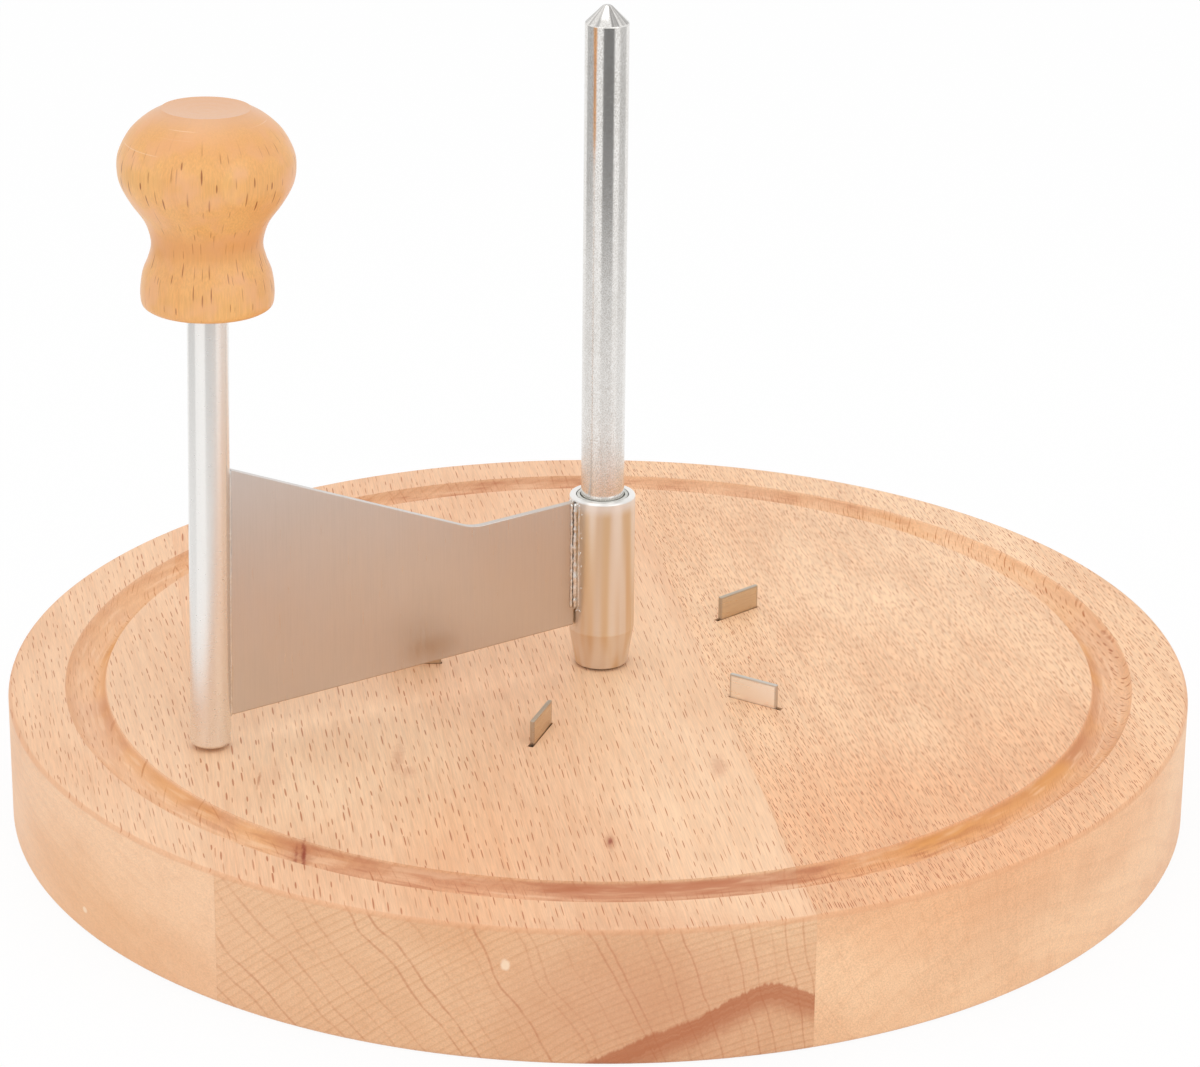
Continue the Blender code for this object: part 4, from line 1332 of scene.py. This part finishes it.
class CURLER_OT_post(bpy.types.Operator):
    """Turn the post with its rounded foot, and the snap ring in its groove"""

    bl_idname = "curler.post"
    bl_label = "Post and ring"

    def execute(self, context):
        scene = context.scene
        crank = scene.curler_crank
        place = handle_place(scene)
        radius = crank.post_diameter / 2
        foot_round = 0.0008
        groove = radius - RING_SEAT_DEPTH
        ring_top = crank.post_length - RING_FROM_TOP
        ring_low = ring_top - RING_HEIGHT
        profile = [
            (0.0, crank.post_length),
            (radius - ROD_END, crank.post_length),
            (radius, crank.post_length - ROD_END),
            (radius, ring_top + SLIDE_GAP),
            (groove, ring_top + SLIDE_GAP),
            (groove, ring_low - SLIDE_GAP),
            (radius, ring_low - SLIDE_GAP),
            *arc((radius - foot_round, foot_round), foot_round, 0.0, -math.pi / 2, EDGE_STEPS),
            (0.0, 0.0),
        ]
        post = turned("post_rod", profile)
        put(post, place)
        name = "Brushed steel of the post"
        finish = turned_finish(crank, name, place, (0.8, 0.8, 2.0), 0.27, (0.05, 0.1), 0.9)
        finish_piece(post, "crank", "handle_post", finish)

        outer = scene.curler_knob.bore - 0.0004
        section = ring_profile(outer, groove + SLIDE_GAP, ring_low, ring_top)
        ring = turned("snap_ring", section, SMALL_STEPS, closed=True)
        half_opening = outer * RING_OPENING_SHARE
        low = (0.0, -half_opening, ring_low - CUT_OVERRUN)
        high = (outer + CUT_OVERRUN, half_opening, ring_top + CUT_OVERRUN)
        cut_away(ring, block("ring_opening", low, high))
        put(ring, place)
        finish_piece(ring, "crank", "knob_ring", finish)
        return {"FINISHED"}


BEAD_FOOT_SHARE = 0.6
BEAD_TOP_SHARE = 0.55
BEAD_PULL_SHARE = 0.6
DROP_SIZE = 0.00016
SEAM_DROPS = 16
FOOT_DROPS = 7


def lumpy_bead(name, x, y, low, high, radius, rings, sway, rng):
    """A bead of weld: a ring that is extruded upwards, and made wider, narrower and uneven as it goes."""
    circle = {"vertices": 10, "radius": radius * BEAD_FOOT_SHARE, "fill_type": "NGON"}
    bead = start(name, bpy.ops.mesh.primitive_circle_add, location=(x, y, low), **circle)
    work_on(bead)
    step = (high - low) / rings
    width = BEAD_FOOT_SHARE
    middle = Vector((x, y, low))
    for ring in range(rings):
        new_width = rng.uniform(0.62, 1.15) if ring < rings - 1 else BEAD_TOP_SHARE
        move = Vector((rng.uniform(-sway, sway), rng.uniform(-sway, sway), step))
        bpy.ops.mesh.extrude_region_move(TRANSFORM_OT_translate={"value": move})
        middle += move
        share = new_width / width
        bpy.ops.transform.resize(value=(share, share, 1.0), center_override=middle)
        pull = (Vector((x, y, middle.z)) - middle) * BEAD_PULL_SHARE
        bpy.ops.transform.translate(value=pull)
        middle += pull
        width = new_width
    close_up(math.radians(180))
    return bead


def spatter(places, rng):
    """Small drops of weld metal at these places."""
    drops = []
    for index, place in enumerate(places):
        size = DROP_SIZE * rng.uniform(0.5, 1.2)
        stretch = (1.0, rng.uniform(0.5, 0.8), rng.uniform(0.7, 1.4))
        sphere = {"subdivisions": 2, "radius": size, "location": place}
        drops.append(start(f"drop_{index}", bpy.ops.mesh.primitive_ico_sphere_add, stretch, **sphere))
        bpy.ops.object.shade_smooth()
    return drops


def on_hub(crank, side, angle, height, off=0.0):
    """A place on the hub's wall, at an angle from the blade, to one side of it."""
    x = crank.hub_radius * math.cos(angle) + off
    return x, side * (crank.hub_radius * math.sin(angle) + off), height


class CURLER_OT_welds(bpy.types.Operator):
    """Lay the weld beads in the corners between the blade and the hub and post"""

    bl_idname = "curler.welds"
    bl_label = "Weld beads"

    def execute(self, context):
        scene = context.scene
        crank = scene.curler_crank
        rng = random.Random(4)
        half = crank.blade_thickness / 2
        looks = {}
        for name, place in (("hub", crank_place(scene)), ("post", handle_place(scene))):
            title = f"Weld metal at the {name}"
            metal = (title, place, (2.5, 2.5, 3.0), 0.34, (0.5, 0.2), crank.steel, crank.weld_shade)
            looks[name] = steel_finish(crank, *metal)
        for side, side_name in ((1, "front"), (-1, "back")):
            bead = 0.00042
            low = crank.blade_hub_low + 0.0035
            high = crank.blade_hub_high - 0.0002
            off = half + bead * 0.7
            reach = math.sqrt((crank.hub_radius + bead * 0.5) ** 2 - off**2)
            angle = math.atan2(off + 0.0009, reach)
            beside_x, beside_y, beside_low = on_hub(crank, side, angle, low + 0.0002)
            ridges = []
            for title, x, y, foot, radius, rings, sway in (
                (f"hub_bead_{side_name}", reach, side * off, low, bead, 46, 0.00014),
                ("second_ridge", reach + 0.00065, side * (half + 0.0001), low, bead * 0.62, 52, 0.0001),
                ("third_ridge", beside_x, beside_y, beside_low, bead * 0.4, 52, 0.00007),
            ):
                ridges.append(lumpy_bead(title, x, y, foot, high, radius, rings, sway, rng))
            places = []
            for _ in range(SEAM_DROPS):
                drop_angle = angle + rng.uniform(-0.05, 0.14)
                places.append(on_hub(crank, side, drop_angle, low + (high - low) * rng.random() ** 1.3))
            for _ in range(FOOT_DROPS):
                drop_angle = angle + rng.uniform(-0.35, 0.12)
                places.append(on_hub(crank, side, drop_angle, low + rng.uniform(-0.0006, 0.0004), 0.0001))
            weld = join_into(ridges[0], [*ridges[1:], *spatter(places, rng)])
            put(weld, crank_place(scene))
            finish_piece(weld, "crank", f"hub_weld_{side_name}", looks["hub"])

            bead = 0.0002
            low = crank.blade_post_low - crank.post_foot
            high = crank.blade_post_high - crank.post_foot
            off = half + bead * 0.6
            reach = -math.sqrt((crank.post_diameter / 2 + bead * 0.6) ** 2 - off**2)
            name = f"post_bead_{side_name}"
            seam = lumpy_bead(name, reach, side * off, low, high, bead, 60, 0.00005, rng)
            put(seam, handle_place(scene))
            finish_piece(seam, "crank", f"post_weld_{side_name}", looks["post"])
        return {"FINISHED"}


# Radius and height of the knob's outline as shares of its diameter and its height, from the foot up
KNOB_OUTLINE_SHARES = (
    (0.345, 0.0),
    (0.371, 0.022),
    (0.377, 0.09),
    (0.363, 0.178),
    (0.332, 0.249),
    (0.314, 0.33),
    (0.348, 0.436),
    (0.432, 0.543),
    (0.487, 0.636),
    (0.500, 0.722),
    (0.484, 0.794),
    (0.428, 0.882),
    (0.343, 0.951),
    (0.262, 0.992),
)
KNOB_TOP_SHARE = 0.25
DISH_EDGE_SHARE = 0.245
DISH_RADIUS_SHARE = 0.235
DISH_RINGS = 12
DISH_DEPTH = 0.00045
DISH_GROOVE = 0.00005


class CURLER_OT_knob(bpy.types.Operator):
    """Turn the wooden knob with its dished top, and the bush pressed into it"""

    bl_idname = "curler.knob"
    bl_label = "Knob and bush"

    def execute(self, context):
        scene = context.scene
        knob = scene.curler_knob
        crank = scene.curler_crank
        place = handle_place(scene)
        outline = [(knob.diameter * wide, knob.height * high) for wide, high in KNOB_OUTLINE_SHARES]
        dish = []
        for ring in range(DISH_RINGS):
            radius = knob.diameter * DISH_RADIUS_SHARE * (1 - ring / DISH_RINGS)
            depth = DISH_DEPTH * (1 - (radius / (knob.diameter * DISH_EDGE_SHARE)) ** 2)
            if ring % 3 == 1:
                depth += DISH_GROOVE
            dish.append((radius, knob.height - depth))
        edge = 0.0004
        profile = [
            (0.0, knob.bore_depth),
            (knob.bore, knob.bore_depth),
            (knob.bore, edge),
            (knob.bore + edge, 0.0),
            *smooth_line(outline, 6),
            (knob.diameter * KNOB_TOP_SHARE, knob.height),
            *dish,
            (0.0, knob.height - DISH_DEPTH),
        ]
        wood = turned("knob_wood", profile, smooth_angle=math.radians(40))
        put(wood, place @ Matrix.Translation((0.0, 0.0, knob.seat)))
        finish_piece(wood, "knob", "handle_knob", knob_finish(scene))

        inner = crank.post_diameter / 2 + 0.0002
        ring_low = crank.post_length - RING_FROM_TOP - RING_HEIGHT
        ends = (knob.seat + SEAT_GAP, ring_low - SEAT_GAP)
        section = ring_profile(knob.bore - SLIDE_GAP, inner, *ends, SLIDE_GAP)
        bush = turned("knob_bush_ring", section, SMALL_STEPS, closed=True)
        put(bush, place)
        finish_piece(bush, "knob", "knob_insert", bush_finish(scene))
        return {"FINISHED"}


CAMERA_PLACE = (0.0, -0.6682957, 0.3124728)
CAMERA_TURN = Euler(tuple(math.radians(degrees) for degrees in (70.59385, -1.02682, -1.16057)))
CAMERA_SETTINGS = {"sensor_width": 36.0, "sensor_fit": "HORIZONTAL", "shift_x": -0.08333, "shift_y": -0.11125}
CLIP_START = 0.01
FLOOR_SIZE = 6.0
WHITE = (1.0, 1.0, 1.0, 1.0)
GLOW_SHARE = 0.92


def add_camera(stage):
    """The photograph's viewpoint."""
    leave_all()
    bpy.ops.object.camera_add(location=CAMERA_PLACE, rotation=CAMERA_TURN)
    camera = bpy.context.object
    camera.data.lens = stage.focal_length
    camera.data.clip_start = CLIP_START
    for name, value in CAMERA_SETTINGS.items():
        setattr(camera.data, name, value)
    bpy.context.scene.camera = camera


def add_soft_lamp(name, place, aim, width, strength):
    leave_all()
    aimed = (Vector(aim) - Vector(place)).to_track_quat("-Z", "Y").to_euler()
    bpy.ops.object.light_add(type="AREA", location=place, rotation=aimed)
    lamp = bpy.context.object
    lamp.name = name
    lamp.data.shape = "SQUARE"
    lamp.data.size = width
    lamp.data.energy = strength


def sight_lines(draw):
    """Where the camera sees a thing itself, in steel or through glass, and where it sees it in steel."""
    path = draw.read("ShaderNodeLightPath")
    mirrored = path["Is Glossy Ray"]
    seen = path["Is Camera Ray"].maths("MAXIMUM", mirrored).maths("MAXIMUM", path["Is Transmission Ray"])
    return seen, mirrored


def add_background(stage):
    """White for the camera and in reflections, softer as a light."""
    world = bpy.data.worlds.new("Studio")
    world.use_nodes = True
    bpy.context.scene.world = world
    draw = Sketch(world.node_tree)
    light = world.node_tree.nodes["Background"].inputs
    draw.feed(light["Color"], WHITE)
    draw.feed(light["Strength"], draw.blend(sight_lines(draw)[0], stage.fill_light, 1.0))


# Bearings in degrees where each dark part of the room starts and ends, and how dark it is near and far
DARK_SECTORS = ((-18.0, 40.0, 0.1, 0.86), (-118.0, -68.0, 0.08, 0.5), (72.0, 118.0, 0.1, 0.35))
SECTOR_SOFTNESS = 3.0
TABLE_EDGE = (0.30, 0.41)


def reflected_light(finish):
    """How much of the floor's light polished metal sees: the room is dark before the table and beside it."""
    x, y, _ = finish.here.split()
    away, _ = finish.here.round_axis()
    bearing = x.maths("ARCTAN2", y * -1.0).maths("DEGREES")
    light = 1.0
    for first, last, near, far in DARK_SECTORS:
        inside = bearing.ramp(first - SECTOR_SOFTNESS, first + SECTOR_SOFTNESS)
        inside = inside * bearing.ramp(last + SECTOR_SOFTNESS, last - SECTOR_SOFTNESS)
        light = light - inside * away.ramp(*TABLE_EDGE, near, far)
    return light


def floor_finish(stage):
    """Plain white: it keeps the object's shadow, and is clear from below."""
    finish = Finish("Plain floor")
    finish.tree.nodes.remove(finish.shader)
    seen, mirrored = sight_lines(finish)
    brightness = finish.blend(mirrored, 1.0, reflected_light(finish))
    matt = finish.read("ShaderNodeBsdfDiffuse", Color=stage.floor)["BSDF"]
    glow = finish.read("ShaderNodeEmission", Color=WHITE, Strength=brightness)["Emission"]
    top = finish.mix_shaders(seen * GLOW_SHARE, matt, glow)
    clear = finish.read("ShaderNodeBsdfTransparent")["BSDF"]
    back = finish.read("ShaderNodeNewGeometry")["Backfacing"]
    output = finish.tree.nodes["Material Output"]
    finish.feed(output.inputs["Surface"], finish.mix_shaders(back, top, clear))
    return finish


class CURLER_OT_stage(bpy.types.Operator):
    """Lay the plain floor, and set the soft lamps, the background and the camera"""

    bl_idname = "curler.stage"
    bl_label = "Stage"

    def execute(self, context):
        stage = context.scene.curler_stage
        grid = {"x_subdivisions": 8, "y_subdivisions": 8, "size": FLOOR_SIZE, "location": (0, 0, 0)}
        floor = start("floor", bpy.ops.mesh.primitive_grid_add, **grid)
        floor.data.materials.append(floor_finish(stage).material)
        add_soft_lamp("Overhead lamp", (-0.12, 0.05, 1.0), (0.0, 0.0, 0.02), 0.6, stage.key_light)
        add_soft_lamp("Side lamp", (0.6, -0.6, 0.6), (0.0, 0.0, 0.05), 0.7, stage.side_light)
        add_soft_lamp("Front lamp", (-0.45, -0.75, 0.55), (0.0, 0.0, 0.05), 0.7, stage.front_light)
        add_background(stage)
        add_camera(stage)
        context.scene.view_settings.view_transform = "Standard"
        return {"FINISHED"}


class CURLER_PT_pieces(bpy.types.Panel):
    """Sizes, colours and pieces of the cheese curler"""

    bl_idname = "CURLER_PT_pieces"
    bl_label = "Cheese curler"
    bl_space_type = "VIEW_3D"
    bl_region_type = "UI"
    bl_category = "Cheese curler"

    def draw(self, context):
        for operator in PIECE_OPERATORS:
            self.layout.operator(operator.bl_idname)
        for name, group in SETTINGS.items():
            box = self.layout.box()
            box.label(text=group.bl_rna.name)
            for key in group.__annotations__:
                box.prop(getattr(context.scene, name), key)


SETTINGS = {
    "curler_board": CurlerBoard,
    "curler_spindle": CurlerSpindle,
    "curler_spikes": CurlerSpikes,
    "curler_crank": CurlerCrank,
    "curler_knob": CurlerKnob,
    "curler_stage": CurlerStage,
}
PIECE_OPERATORS = (
    CURLER_OT_board,
    CURLER_OT_spindle,
    CURLER_OT_spikes,
    CURLER_OT_hub,
    CURLER_OT_blade,
    CURLER_OT_post,
    CURLER_OT_welds,
    CURLER_OT_knob,
    CURLER_OT_stage,
)


def register():
    for name, group in SETTINGS.items():
        bpy.utils.register_class(group)
        setattr(bpy.types.Scene, name, PointerProperty(type=group))
    for operator in PIECE_OPERATORS:
        bpy.utils.register_class(operator)
    bpy.utils.register_class(CURLER_PT_pieces)


def unregister():
    bpy.utils.unregister_class(CURLER_PT_pieces)
    for operator in reversed(PIECE_OPERATORS):
        bpy.utils.unregister_class(operator)
    for name, group in SETTINGS.items():
        delattr(bpy.types.Scene, name)
        bpy.utils.unregister_class(group)


def main():
    register()
    for operator in PIECE_OPERATORS:
        group, name = operator.bl_idname.split(".")
        getattr(getattr(bpy.ops, group), name)()


if __name__ == "__main__":
    main()
